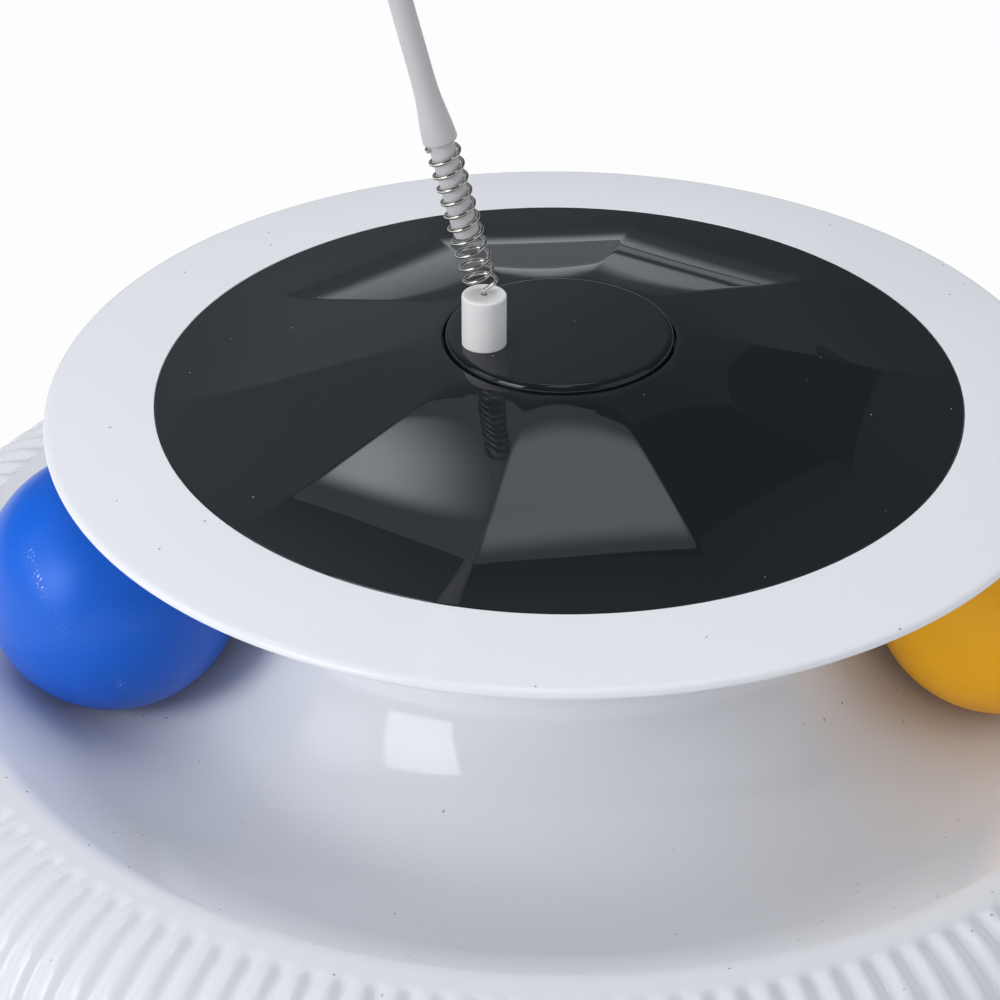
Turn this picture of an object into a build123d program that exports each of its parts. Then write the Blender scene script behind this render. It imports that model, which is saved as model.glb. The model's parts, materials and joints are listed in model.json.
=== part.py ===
from build123d import *
from build123d.topology import SkipClean
import os
from math import acos, asin, atan2, ceil, cos, degrees, hypot, pi, radians, sin, sqrt, tan

# Automatic cat toy: a fluted round body with a ball track, a faceted lid and a spinning spring wand.
# Millimetres and degrees, +Z up, origin on the axis of the body at floor level, front towards -Y.

# Fits
running_gap = 0.3
seat_gap = 0.1
shaft_gap = 0.05
cut_over = 1.0

# Balls and their track
ball_diameter = 40.0
ball_wall = 1.6
ball_headroom = 2.9
blue_ball_angle = 190.0
yellow_ball_angle = -10.0
track_ease = 1.0
cove_ease = 5.2
track_margin = 4.2
crest_rise = 10.0

# Body shell
shell_wall = 2.4
column_radius = 44.0
crest_arc_radius = 6.0
bulge_arc_radius = 22.0
web_width = 7.5
web_thickness = 2.4
flute_sectors = 34
flutes_per_sector = 4
flute_fade = 0.8
flute_half_angle = 64.0
flute_top_angle = 76.0
flute_run_out = 16.5
base_boss_radius = 4.0
base_boss_offset = 3.6
base_boss_count = 6
base_boss_turn = 30.0

# Base cover and feet
foot_height = 2.0
foot_recess = 1.0
foot_radius = 6.0
foot_inset = 0.4
foot_count = 4
foot_turn = 45.0
base_thickness = 2.5
base_inset = 1.0
base_edge_round = 1.2
base_lip_height = 3.0
base_lip_width = 1.8

# Lid flange
lid_radius = 78.0
lid_lip = 2.2
lid_edge_lift = 2.8
lid_ring_rise = 1.3
lid_deck = 2.0
lid_spigot_wall = 1.3
lid_boss_radius = 3.4
lid_boss_count = 4
lid_boss_turn = 45.0

# Faceted fascia
fascia_radius = 61.2
facet_count = 10
facet_turn = 4.5
apron_width = 12.1
apron_rise = 2.0
crown_width = 3.95
crown_drop = 0.75
fascia_skin = 2.0
fascia_rim = 2.6
fascia_floor = 1.6
fascia_peg_radius = 1.6
fascia_peg_inset = 4.7
fascia_peg_count = 4

# Rotor
rotor_radius = 17.3
rotor_rise = 11.6
rotor_stand = 1.0
rotor_thickness = 2.4
rotor_edge_round = 1.1
rotor_float = 0.6
rotor_hub_radius = 6.0

# Wand post
post_radius = 3.35
post_height = 8.2
post_edge_round = 0.5
post_inset = 1.98
post_turn = 199.0
post_stub_radius = 2.0

# Wand spring
wand_lean = 14.15
spring_wire = 0.75
spring_coil_radius = 2.22
spring_pitch = 2.2
spring_turns = 10.6
spring_start = 1.8
spring_tail = 5.0
spring_tail_room = 1.0

# Wand rod
spigot_gap = 0.245
spigot_length = 15.6
collar_radius = 2.6
collar_length = 9.0
rod_radius = 1.75
rod_tip_radius = 1.5
rod_length = 135.0

# Lure
lure_cap_radius = 3.2
lure_cap_web = 1.0
lure_socket_radius = 2.4
lure_socket_depth = 8.0
lure_cap_round = 0.6
feather_count = 4
feather_quill_radius = 0.7
feather_quill_gap = 0.3
feather_quill_reach = 3.0
feather_length = 76.0
feather_width = 16.0
feather_thickness = 1.0
feather_splay = 18.0

# Gear train
gear_room = 1.06
gear_face = 3.0
gear_gap = 0.8
gear_backlash = 0.1
gear_pressure_angle = 25.0
addendum_share = 0.9
dedendum_share = 1.2
gear_flank_steps = 3
pinion_teeth = 12
wheel_teeth = 36
output_teeth = 48
second_gear_angle = 90.0
first_gear_angle = 201.4
motor_angle = 260.0
gear_pin_radius = 1.0
gear_boss_radius = 2.0
output_hub_radius = 6.5

# Output shaft
shaft_radius = 3.0
shaft_flat = 2.3
shaft_top_cover = 1.4
pivot_depth = 1.5
bush_wall = 1.5
bush_flange_radius = 6.6
bush_flange = 1.0
clip_thickness = 0.6
clip_radius = 5.0
clip_groove = 0.6
clip_opening = 3.6

# Gearbox
gearbox_room = 0.7
gearbox_wall = 1.6
gearbox_plate = 2.5
cover_plate = 2.0
pin_socket = 1.2
gearbox_post_radius = 3.0
gearbox_post_inset = 4.0
gearbox_post_angles = (25.0, 168.0, 285.0)
gearbox_boss_height = 4.0

# Motor
motor_room = 1.6
motor_radius = 10.2
motor_flat = 7.7
motor_length = 25.0
motor_boss_radius = 3.0
motor_boss_height = 1.6
motor_cap_radius = 9.2
motor_cap_flat = 7.0
motor_cap_height = 3.0
motor_shaft_radius = 1.0
motor_shaft_depth = 6.0
terminal_width = 2.2
terminal_thickness = 0.5
terminal_drop = 4.0
terminal_spread = 12.0
motor_screw_spread = 10.0

# Battery bay
cell_count = 3
cell_diameter = 14.2
cell_length = 50.5
cell_nub_radius = 2.7
cell_nub_height = 1.0
cell_edge_round = 0.8
cell_gap = 0.3
bay_center_y = 28.0
bay_wall = 1.6
bay_ledge = 2.0
contact_thickness = 0.4
contact_width = 10.0
contact_room = 5.0
leaf_share = 0.5
door_thickness = 1.5
door_ear_radius = 5.2
door_ear_reach = 4.0
door_boss_radius = 3.6
door_boss_height = 6.0

# Switch and circuit board
board_length = 44.0
board_width = 24.0
board_thickness = 1.6
board_center_y = -50.0
board_post_radius = 3.0
board_post_inset = 4.0
switch_length = 13.0
switch_width = 8.0
switch_height = 7.5
switch_wall = 1.2
switch_travel = 3.0
slider_length = 5.0
slider_height = 1.8
knob_length = 3.2
knob_width = 2.6
knob_proud = 0.8

# Leads
lead_radius = 0.6
lead_bend = 1.5
lead_lift = 1.8
lead_margin = 6.0
motor_lead_drop = 4.0
motor_lead_gap = 8.0

# Screws: shank and head are radii, and a length is taken under the head
base_shank = 1.4
base_head = 2.8
base_head_height = 1.2
base_screw_length = 10.0
lid_shank = 1.4
lid_head = 2.8
lid_head_height = 1.6
gearbox_shank = 1.2
gearbox_head = 2.4
gearbox_head_height = 1.4
motor_shank = 0.9
motor_head = 1.6
motor_head_height = 1.0
motor_screw_length = 4.0
door_shank = 1.2
door_head = 2.2
door_head_height = 0.9
door_screw_length = 6.0
board_shank = 1.0
board_head = 2.0
board_head_height = 1.2
board_screw_length = 5.0
screw_end_room = 0.6

# Heights and radii that follow from the values above
base_bottom = foot_height
base_top = base_bottom + base_thickness
cell_height = base_top + cell_gap + cell_diameter / 2
bay_roof = cell_height + cell_diameter / 2 + cell_gap
bay_outer_top = bay_roof + bay_wall
terminal_bottom = bay_outer_top + motor_room
terminal_top = terminal_bottom + terminal_drop
motor_bottom = terminal_top + motor_cap_height
tray_bottom = motor_bottom + motor_length
tray_top = tray_bottom + gearbox_plate
level_low = tray_top + gear_gap
level_middle = level_low + gear_face + gear_gap
level_top = level_middle + gear_face + gear_gap
cover_bottom = level_top + gear_face + gear_gap
deck_bottom = cover_bottom + cover_plate
deck_top = deck_bottom + lid_deck
ball_radius = ball_diameter / 2
ball_height = deck_bottom - ball_headroom - ball_radius
track_floor = ball_height - ball_radius - running_gap
track_arc_radius = ball_radius + track_ease
cove_radius = ball_radius + cove_ease
track_radius = column_radius + cove_radius
crest_radius = track_radius + track_arc_radius + track_margin
crest_height = track_floor + crest_rise
wall_center = crest_height - bulge_arc_radius
lid_edge_top = deck_bottom + lid_edge_lift
lid_ring_top = lid_edge_top + lid_ring_rise
rotor_top = lid_edge_top + rotor_rise
rotor_bottom = rotor_top - rotor_thickness
fascia_top = rotor_top - rotor_stand
well_floor = rotor_bottom - rotor_float
well_radius = rotor_radius + running_gap
column_bore = column_radius - shell_wall
web_bore = column_bore - web_width
web_bottom = deck_bottom - web_thickness
spigot_outer = web_bore - seat_gap
gearbox_radius = spigot_outer - lid_spigot_wall - gearbox_room

UP = (Align.CENTER, Align.CENTER, Align.MIN)
nodes = {}


# Shared forms

def bar(radius, bottom, top, x=0, y=0):
    """Upright round bar between two heights."""
    return Pos(x, y, bottom) * Cylinder(radius, top - bottom, align=UP)


def block(length, width, bottom, top, x=0, y=0):
    """Upright box between two heights."""
    return Pos(x, y, bottom) * Box(length, width, top - bottom, align=UP)


def d_bar(radius, flat, bottom, top):
    """Round bar about the axis with one flat facing +X."""
    cut = block(radius, 2 * radius + cut_over, bottom - cut_over, top + cut_over, flat + radius / 2)
    return bar(radius, bottom, top) - cut


def turned(*edges):
    """Solid turned about the axis from a closed outline of radius and height."""
    return revolve(Plane.XZ * make_face(edges), Axis.Z)


def around(radius, count, start=0):
    """Centres of copies evenly spaced round a circle."""
    angles = [radians(start + 360 * i / count) for i in range(count)]
    return [(radius * cos(a), radius * sin(a)) for a in angles]


def fuse(solids):
    """One solid made of a list of touching solids."""
    return solids[0].fuse(*solids[1:])


def screw(shank, head, head_height, length, x, y, seat, upward=True):
    """Round-headed screw with its head against a seat height."""
    if upward:
        return bar(head, seat - head_height, seat, x, y) + bar(shank, seat, seat + length, x, y)
    return bar(head, seat, seat + head_height, x, y) + bar(shank, seat - length, seat, x, y)


def hole(shank, x, y, bottom, top):
    """Clearance for the shank of a screw."""
    return bar(shank + shaft_gap, bottom, top, x, y)


def polar(start, distance, angle):
    """Point at a distance and angle from another."""
    return (start[0] + distance * cos(radians(angle)), start[1] + distance * sin(radians(angle)))


def arc_between(center, radius, start, end):
    """Arc of an outline between two polar angles."""
    return CenterArc(center, radius, start, end - start)


# Body shell: fluted wall, rim, track and column in one moulding

def wall_foot(radius):
    """Polar angle at which a wall arc of this radius reaches the base cover."""
    return degrees(asin((base_top - wall_center) / radius))


def track_slope():
    """Angle of the straight that joins the track's arc to the crest's arc."""
    run = crest_radius - track_radius
    rise = crest_height - crest_arc_radius - track_floor - track_arc_radius
    spread = track_arc_radius + crest_arc_radius
    return degrees(atan2(rise, run) + asin(spread / hypot(run, rise)))


def inner_skin(depth):
    """Outline from the crest down through the track and up the column, set in by a depth."""
    slope = track_slope()
    crest_center = (crest_radius, crest_height - crest_arc_radius)
    floor_center = (track_radius, track_floor + track_arc_radius)
    cove_center = (track_radius, track_floor + cove_radius)
    crest = arc_between(crest_center, crest_arc_radius - depth, 90, 90 + slope)
    floor = arc_between(floor_center, track_arc_radius + depth, slope - 90, -90)
    cove = arc_between(cove_center, cove_radius + depth, -90, -180)
    column = Line(cove @ 1, (column_radius - depth, deck_bottom))
    return [crest, Line(crest @ 1, floor @ 0), floor, cove, column]


def closed_band(outer, inner):
    """Outline between two chains of edges, closed across their ends."""
    start = Line(outer[0] @ 0, inner[0] @ 0)
    end = Line(outer[-1] @ 1, inner[-1] @ 1)
    return [*outer, *inner, start, end]


wall_arc = arc_between((crest_radius, wall_center), bulge_arc_radius, wall_foot(bulge_arc_radius), 90)
wall_inner_radius = bulge_arc_radius - shell_wall
wall_back = arc_between((crest_radius, wall_center), wall_inner_radius, wall_foot(wall_inner_radius), 90)
shell_foot_radius = (wall_arc @ 0).X
shell_foot_bore = (wall_back @ 0).X

# The flute is a vee cut along an arc set a little above the wall's own, so that it fades towards the rim.
flute_low_angle = wall_foot(bulge_arc_radius) - flute_run_out
flute_apex = bulge_arc_radius - flute_fade * sin(radians(flute_top_angle))
flute_depth = 2 * flute_fade + cut_over
flute_half_width = flute_depth * tan(radians(flute_half_angle))
flute_center = (crest_radius, 0, wall_center + flute_fade)
flute_axis = Axis(flute_center, (0, -1, 0))
flute_section = make_face(Polyline((flute_apex, 0), (flute_apex + flute_depth, flute_half_width),
                                   (flute_apex + flute_depth, -flute_half_width), close=True))
flute_low = (Pos(*flute_center) * flute_section).rotate(flute_axis, flute_low_angle)
flute_cutter = revolve(flute_low, flute_axis, 90 - flute_low_angle)

sector_angle = 360 / flute_sectors
flute_pitch = sector_angle / flutes_per_sector
sector = revolve(Plane.XZ * make_face(closed_band([wall_arc], [wall_back])), Axis.Z, sector_angle)
cutters = [flute_cutter.rotate(Axis.Z, flute_pitch * (i + 1 / 2)) for i in range(flutes_per_sector)]
sector = sector.cut(*cutters)

track = turned(*closed_band(inner_skin(0), inner_skin(shell_wall)))
web = bar(column_bore + shell_wall / 2, web_bottom, deck_bottom)
web -= bar(web_bore, web_bottom - cut_over, deck_bottom + cut_over)
boss_reach = base_boss_offset + base_boss_radius
boss_top = wall_center + sqrt(wall_inner_radius ** 2 - boss_reach ** 2) + shell_wall / 2
base_screw_places = around(crest_radius + base_boss_offset, base_boss_count, base_boss_turn)
lid_boss_circle = column_bore - web_width / 2
lid_screw_places = around(lid_boss_circle, lid_boss_count, lid_boss_turn)
base_pilot_top = base_top + base_screw_length

with SkipClean():
    body = track.fuse(web, *[sector.rotate(Axis.Z, sector_angle * i) for i in range(flute_sectors)])
    body = body.fuse(*[bar(base_boss_radius, base_top, boss_top, x, y) for x, y in base_screw_places])
    pilots = [hole(base_shank, x, y, base_top - cut_over, base_pilot_top) for x, y in base_screw_places]
    passes = [hole(lid_shank, x, y, web_bottom - cut_over, deck_bottom + cut_over)
              for x, y in lid_screw_places]
    body = body.cut(*pilots, *passes)
nodes["body_shell"] = body

# Lid flange: thin lipped disc with a sunken deck for the fascia and the drive

lip_round = lid_lip / 2
lip_middle = lid_edge_top - lip_round
deck_bore = shaft_radius + shaft_gap + bush_wall + shaft_gap
fascia_seat = fascia_radius + seat_gap
lip = arc_between((lid_radius - lip_round, lip_middle), lip_round, -90, 90)
deck_edge = (column_radius, deck_bottom)
lid = turned(
    lip,
    Polyline(lip @ 1, (fascia_seat, lid_ring_top), (fascia_seat, deck_top), (deck_bore, deck_top)),
    Polyline((deck_bore, deck_top), (deck_bore, deck_bottom), deck_edge, lip @ 0),
)
lid_spigot = bar(spigot_outer, web_bottom, deck_bottom)
lid_spigot -= bar(spigot_outer - lid_spigot_wall, web_bottom, deck_bottom)
gearbox_places = [polar((0, 0), gearbox_radius - gearbox_post_inset, a) for a in gearbox_post_angles]

# The space under the fascia slopes with its facets, and the lid's screw bosses end just below it.
facet_outer_apothem = fascia_radius - apron_width
facet_inner_apothem = well_radius + crown_width
facet_outer = lid_edge_top + apron_rise
facet_inner = fascia_top - crown_drop
facet_slope = (facet_inner - facet_outer) / (facet_outer_apothem - facet_inner_apothem)
hollow_low = facet_outer - fascia_skin
lid_boss_edge = lid_boss_circle + lid_boss_radius
lid_boss_top = hollow_low + facet_slope * (facet_outer_apothem - lid_boss_edge) - running_gap
lid_screw_end = lid_boss_top - screw_end_room
gearbox_boss_top = deck_top + gearbox_boss_height
gearbox_screw_end = gearbox_boss_top - screw_end_room
lid = fuse([
    lid,
    lid_spigot,
    *[bar(lid_boss_radius, deck_top, lid_boss_top, x, y) for x, y in lid_screw_places],
    *[bar(gearbox_post_radius, deck_top, gearbox_boss_top, x, y) for x, y in gearbox_places],
])
peg_places = around(fascia_radius - fascia_peg_inset, fascia_peg_count)
peg_hole_radius = fascia_peg_radius + seat_gap
nodes["lid_flange"] = lid.cut(
    *[hole(lid_shank, x, y, deck_bottom - cut_over, lid_screw_end) for x, y in lid_screw_places],
    *[hole(gearbox_shank, x, y, deck_bottom - cut_over, gearbox_screw_end) for x, y in gearbox_places],
    *[bar(peg_hole_radius, deck_bottom - cut_over, deck_top + cut_over, x, y) for x, y in peg_places],
)

# Fascia: shallow cone whose middle band is cut into flat facets

crown_slope = crown_drop / crown_width
facet_foot = facet_outer_apothem + (facet_outer - deck_top) / facet_slope
facet_peak = fascia_top + rotor_stand
facet_peak_apothem = facet_inner_apothem - (facet_peak - facet_inner) / facet_slope
facet_low = RegularPolygon(facet_foot, facet_count, major_radius=False, rotation=facet_turn)
facet_high = RegularPolygon(facet_peak_apothem, facet_count, major_radius=False, rotation=facet_turn)
gem = loft([Pos(0, 0, deck_top) * facet_low, Pos(0, 0, facet_peak) * facet_high], ruled=True)
crown_edge = fascia_top - crown_slope * (fascia_radius - well_radius)
crown = turned(Polyline((0, deck_top), (0, fascia_top), (well_radius, fascia_top),
                        (fascia_radius, crown_edge), (fascia_radius, deck_top), close=True))
apron = turned(Polyline((0, deck_top), (0, facet_outer), (facet_outer_apothem, facet_outer),
                        (fascia_radius, lid_ring_top), (fascia_radius, deck_top), close=True))
hollow_top = well_floor - fascia_floor
hollow_inner = facet_outer_apothem - (hollow_top - hollow_low) / facet_slope
hollow = turned(Polyline((0, deck_top - cut_over), (0, hollow_top), (hollow_inner, hollow_top),
                         (facet_outer_apothem, hollow_low), (fascia_radius - fascia_rim, hollow_low),
                         (fascia_radius - fascia_rim, deck_top - cut_over), close=True))
fascia = (gem & crown) + apron
fascia = fascia - hollow - bar(well_radius, well_floor, rotor_top)
fascia -= bar(rotor_hub_radius + rotor_float, hollow_top - cut_over, rotor_top)
nodes["fascia"] = fascia + [bar(fascia_peg_radius, deck_bottom, hollow_low, x, y) for x, y in peg_places]

# Gear train: positions of the axes and phases of the teeth in mesh

# The module lets the outermost wheel just clear the wall of the gearbox.
reach_in_modules = (pinion_teeth + output_teeth + wheel_teeth) / 2 + addendum_share
gear_module = (gearbox_radius - gearbox_wall - gear_room) / reach_in_modules
gear_addendum = addendum_share * gear_module
gear_dedendum = dedendum_share * gear_module
wheel_distance = gear_module * (pinion_teeth + wheel_teeth) / 2
output_distance = gear_module * (pinion_teeth + output_teeth) / 2
second_axis = polar((0, 0), output_distance, second_gear_angle)
first_axis = polar(second_axis, wheel_distance, first_gear_angle)
motor_axis = polar(first_axis, wheel_distance, motor_angle)


def mesh_phase(phase, teeth, direction, mate_teeth):
    """Phase of a gear in mesh with another, which lies in a direction from that other."""
    return direction + 180 - teeth / mate_teeth * (phase - direction) + 180 / mate_teeth


output_phase = 0.0
second_phase = mesh_phase(output_phase, output_teeth, second_gear_angle, pinion_teeth)
first_phase = mesh_phase(second_phase, wheel_teeth, first_gear_angle, pinion_teeth)
motor_phase = mesh_phase(first_phase, wheel_teeth, motor_angle, pinion_teeth)


def involute(angle):
    """Involute function of a pressure angle."""
    return tan(angle) - angle


def gear(teeth, phase, bottom, place):
    """Spur gear with one tooth centred on the phase angle."""
    pitch_radius = gear_module * teeth / 2
    base_radius = pitch_radius * cos(radians(gear_pressure_angle))
    tip_radius = pitch_radius + gear_addendum
    root_radius = pitch_radius - gear_dedendum
    half_tooth = (pi * gear_module / 2 - gear_backlash) / (2 * pitch_radius)
    flank = []
    if root_radius < base_radius:
        flank.append((root_radius, half_tooth + involute(radians(gear_pressure_angle))))
    start_radius = max(root_radius, base_radius)
    for i in range(gear_flank_steps + 1):
        radius = start_radius + (tip_radius - start_radius) * i / gear_flank_steps
        rolled = involute(acos(min(1, base_radius / radius)))
        flank.append((radius, half_tooth + involute(radians(gear_pressure_angle)) - rolled))
    points = []
    for tooth in range(teeth):
        middle = radians(phase + 360 * tooth / teeth)
        points += [(r * cos(middle - a), r * sin(middle - a)) for r, a in flank]
        points += [(r * cos(middle + a), r * sin(middle + a)) for r, a in reversed(flank)]
    face = make_face(Polyline(points, close=True))
    return Pos(place[0], place[1], bottom) * extrude(face, gear_face)


pin_bore = gear_pin_radius + shaft_gap
pinion_root = gear_module * pinion_teeth / 2 - gear_dedendum


def compound_gear(place, phase, low, high):
    """Wheel and pinion in one moulding, turning on a pin."""
    whole = gear(wheel_teeth, phase, low, place)
    whole += bar(pinion_root, low + gear_face, high, *place)
    whole += gear(pinion_teeth, phase, high, place)
    return whole - bar(pin_bore, low - cut_over, high + gear_face + cut_over, *place)


nodes["first_gear"] = compound_gear(first_axis, first_phase, level_low, level_middle)
nodes["second_gear"] = compound_gear(second_axis, second_phase, level_middle, level_top)
output_hub_bottom = level_top - gear_gap / 2
output_hub = bar(output_hub_radius, output_hub_bottom, level_top)
bore_radius = shaft_radius + shaft_gap
bore_flat = shaft_flat + shaft_gap
output_bore = d_bar(bore_radius, bore_flat, output_hub_bottom - cut_over, cover_bottom)
nodes["output_gear"] = gear(output_teeth, output_phase, level_top, (0, 0)) + output_hub - output_bore

motor_shaft_top = level_low + gear_face + gear_gap / 2
pinion_bore = bar(motor_shaft_radius + shaft_gap, level_low - cut_over, motor_shaft_top, *motor_axis)
nodes["motor_pinion"] = gear(pinion_teeth, motor_phase, level_low, motor_axis) - pinion_bore
nodes["motor_shaft"] = bar(motor_shaft_radius, tray_bottom - motor_shaft_depth, motor_shaft_top, *motor_axis)

# Output shaft with its bush and retaining clip

pivot_floor = tray_top - pivot_depth
shaft_bottom = pivot_floor + shaft_gap
shaft_top = rotor_top - shaft_top_cover - shaft_gap
bush_top = deck_top + bush_flange
clip_bottom = bush_top + running_gap
clip_top = clip_bottom + clip_thickness
hub_bottom = clip_top + running_gap
shaft = d_bar(shaft_radius, shaft_flat, shaft_bottom, level_top + gear_face)
shaft += bar(shaft_radius, level_top + gear_face, hub_bottom)
shaft += d_bar(shaft_radius, shaft_flat, hub_bottom, shaft_top)
groove_radius = shaft_radius - clip_groove
groove_low = clip_bottom - shaft_gap
groove_high = clip_top + shaft_gap
groove = bar(shaft_radius + cut_over, groove_low, groove_high) - bar(groove_radius, groove_low, groove_high)
nodes["output_shaft"] = shaft - groove
clip = bar(clip_radius, clip_bottom, clip_top)
clip -= bar(groove_radius + shaft_gap, clip_bottom - cut_over, clip_top + cut_over)
clip -= block(clip_radius + cut_over, clip_opening, clip_bottom - cut_over, clip_top + cut_over,
              (clip_radius + cut_over) / 2)
nodes["shaft_clip"] = clip
bush = bar(deck_bore - shaft_gap, cover_bottom, deck_top) + bar(bush_flange_radius, deck_top, bush_top)
nodes["shaft_bush"] = bush - bar(shaft_radius + shaft_gap, cover_bottom - cut_over, bush_top + cut_over)

# Rotor disc and wand post

hub_bore = d_bar(bore_radius, bore_flat, hub_bottom - cut_over, shaft_top + shaft_gap)
disc = bar(rotor_radius, rotor_bottom, rotor_top)
disc = fillet(disc.edges().group_by(Axis.Z)[-1], rotor_edge_round)
disc += bar(rotor_hub_radius, hub_bottom, rotor_bottom)
post_place = polar((0, 0), rotor_radius - post_radius - post_inset, post_turn)
stub_hole = bar(post_stub_radius + shaft_gap, rotor_bottom - cut_over, rotor_top + cut_over, *post_place)
nodes["rotor_disc"] = disc - hub_bore - stub_hole

post_top = rotor_top + post_height
post = bar(post_radius, rotor_top, post_top, *post_place)
post = fillet(post.edges().group_by(Axis.Z)[-1], post_edge_round)
post += bar(post_stub_radius, rotor_bottom, rotor_top, *post_place)
wire_radius = spring_wire / 2
tail_hole_bottom = post_top - spring_tail - spring_tail_room
nodes["wand_post"] = post - bar(wire_radius + seat_gap, tail_hole_bottom, post_top + cut_over, *post_place)

# Wand spring: one wire from the hole in the post, through the free coils, to the collar of the rod

wand_tip = Vector(-sin(radians(wand_lean)), 0, cos(radians(wand_lean)))
wand_side = Vector(cos(radians(wand_lean)), 0, sin(radians(wand_lean)))
wand_plane = Plane((*post_place, post_top), x_dir=wand_side, z_dir=wand_tip)


def coil_point(turn):
    """Point and heading on the coil after a number of turns."""
    angle = 2 * pi * turn
    climb = spring_pitch / (2 * pi * spring_coil_radius)
    height = spring_start + spring_pitch * turn
    local = Vector(spring_coil_radius * cos(angle), spring_coil_radius * sin(angle), height)
    heading = Vector(-sin(angle), cos(angle), climb).normalized()
    end = wand_plane.from_local_coords(local)
    return end, wand_plane.from_local_coords(local + heading) - end


def biarc(start, start_heading, end, end_heading):
    """Two arcs that leave one point and reach another along given headings."""
    across = end - start
    both = start_heading + end_heading
    a = 2 * (1 - start_heading.dot(end_heading))
    b = 2 * across.dot(both)
    c = across.dot(across)
    reach = c / b if abs(a) < 1e-9 else (-b + sqrt(b * b + 4 * a * c)) / (2 * a)
    middle = (start + start_heading * reach + end - end_heading * reach) * 0.5
    first = TangentArc(start, middle, tangent=start_heading)
    return [first, TangentArc(middle, end, tangent=first % 1)]


tail_top = Vector(*post_place, post_top)
tail_end = tail_top - Vector(0, 0, spring_tail)
tail_bend = tail_top + Vector(0, 0, wire_radius)
up = Vector(0, 0, 1)
hook, hook_heading = coil_point(0)
route = [(tail_bend, up), (hook, hook_heading)]
half_turns = ceil(2 * spring_turns)
route += [coil_point(min(spring_turns, (i + 1) / 2)) for i in range(half_turns)]
spring_edges = [Line(tail_end, tail_bend)]
for (start, heading), (end, end_heading) in zip(route, route[1:]):
    spring_edges += biarc(start, heading, end, end_heading)
coil_end, coil_heading = route[-1]
spring_edges.append(Line(coil_end, coil_end + coil_heading * spring_wire))
spring_path = Wire(spring_edges)
spring_section = Plane(tail_end, z_dir=up) * Circle(wire_radius)
nodes["wand_spring"] = sweep(spring_section, path=spring_path)

spring_samples = 60 * half_turns
spring_points = [spring_path @ (i / spring_samples) for i in range(spring_samples + 1)]
near_steps = ceil(3 * spring_wire / (spring_path.length / spring_samples))
least = min((spring_points[i] - spring_points[j]).length
            for i in range(len(spring_points)) for j in range(i + near_steps, len(spring_points)))
print(f"wand spring: least gap to itself {least - spring_wire:.2f} mm")

# Wand rod with its spigot and flared collar

spring_top = spring_start + spring_pitch * spring_turns
spigot_radius = spring_coil_radius - wire_radius - spigot_gap
collar_bottom = spring_top + wire_radius + running_gap
flare_top = collar_bottom + collar_length
rod_top = collar_bottom + rod_length
flare = TangentArc((rod_radius, flare_top), (collar_radius, collar_bottom), tangent=(0, -1))
rod = turned(
    flare,
    Polyline((collar_radius, collar_bottom), (spigot_radius, collar_bottom),
             (spigot_radius, collar_bottom - spigot_length), (0, collar_bottom - spigot_length),
             (0, rod_top), (rod_tip_radius, rod_top), (rod_radius, flare_top)),
)
nodes["wand_rod"] = wand_plane.location * rod

# Lure: cap on the tip of the rod and a tuft of feathers

cap_bottom = rod_top - lure_socket_depth
web_top = rod_top + seat_gap + lure_cap_web
cap_top = web_top + lure_socket_depth
cap = bar(lure_cap_radius, cap_bottom, cap_top)
cap = fillet(cap.edges().filter_by(GeomType.CIRCLE), lure_cap_round)
cap -= bar(rod_tip_radius + 2 * seat_gap, cap_bottom - cut_over, rod_top + seat_gap)
cap -= bar(lure_socket_radius, web_top, cap_top + cut_over)
nodes["lure_cap"] = wand_plane.location * cap

quill_top = cap_top + feather_quill_reach
feather_quill_circle = lure_socket_radius - feather_quill_radius - feather_quill_gap
leaf_side = ThreePointArc((0, 0), (feather_length / 2, feather_width / 2), (feather_length, 0))
leaf = make_face([leaf_side, mirror(leaf_side, Plane.XZ)])
vane = extrude(leaf, feather_thickness / 2, both=True)
splay = radians(feather_splay)
vane_plane = Plane((feather_quill_circle, 0, quill_top - feather_thickness),
                   x_dir=(sin(splay), 0, cos(splay)), z_dir=(cos(splay), 0, -sin(splay)))
feather = bar(feather_quill_radius, web_top, quill_top, feather_quill_circle) + vane_plane.location * vane
nodes["lure_feathers"] = Compound(children=[
    wand_plane.location * feather.rotate(Axis.Z, 360 * i / feather_count) for i in range(feather_count)])

# Balls

def ball(angle):
    """Hollow ball resting in the track at an angle round it."""
    x, y = polar((0, 0), track_radius, angle)
    return Pos(x, y, ball_height) * (Sphere(ball_radius) - Sphere(ball_radius - ball_wall))


nodes["blue_ball"] = ball(blue_ball_angle)
nodes["yellow_ball"] = ball(yellow_ball_angle)

# Gearbox tray and cover, screwed up under the lid's deck

tray = bar(gearbox_radius, tray_bottom, cover_bottom)
tray -= bar(gearbox_radius - gearbox_wall, tray_top, cover_bottom + cut_over)
motor_screw_places = [polar(motor_axis, motor_screw_spread / 2, motor_angle + 90 * side) for side in (-1, 1)]
motor_head_seat = tray_top - motor_head_height - shaft_gap
tray = fuse([
    tray,
    bar(gear_boss_radius, tray_top, level_middle - running_gap, *second_axis),
    *[bar(gearbox_post_radius, tray_top, cover_bottom, x, y) for x, y in gearbox_places],
])
nodes["gearbox_tray"] = tray.cut(
    bar(shaft_radius + shaft_gap, pivot_floor, tray_top + cut_over),
    bar(motor_boss_radius + seat_gap, tray_bottom - cut_over, tray_top + cut_over, *motor_axis),
    bar(pin_bore, tray_bottom - cut_over, level_middle, *second_axis),
    bar(pin_bore, tray_bottom - cut_over, tray_top + cut_over, *first_axis),
    *[hole(gearbox_shank, x, y, tray_bottom - cut_over, cover_bottom + cut_over) for x, y in gearbox_places],
    *[hole(motor_shank, x, y, tray_bottom - cut_over, tray_top) for x, y in motor_screw_places],
    *[bar(motor_head + seat_gap, motor_head_seat, tray_top + cut_over, x, y) for x, y in motor_screw_places],
)
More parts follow.
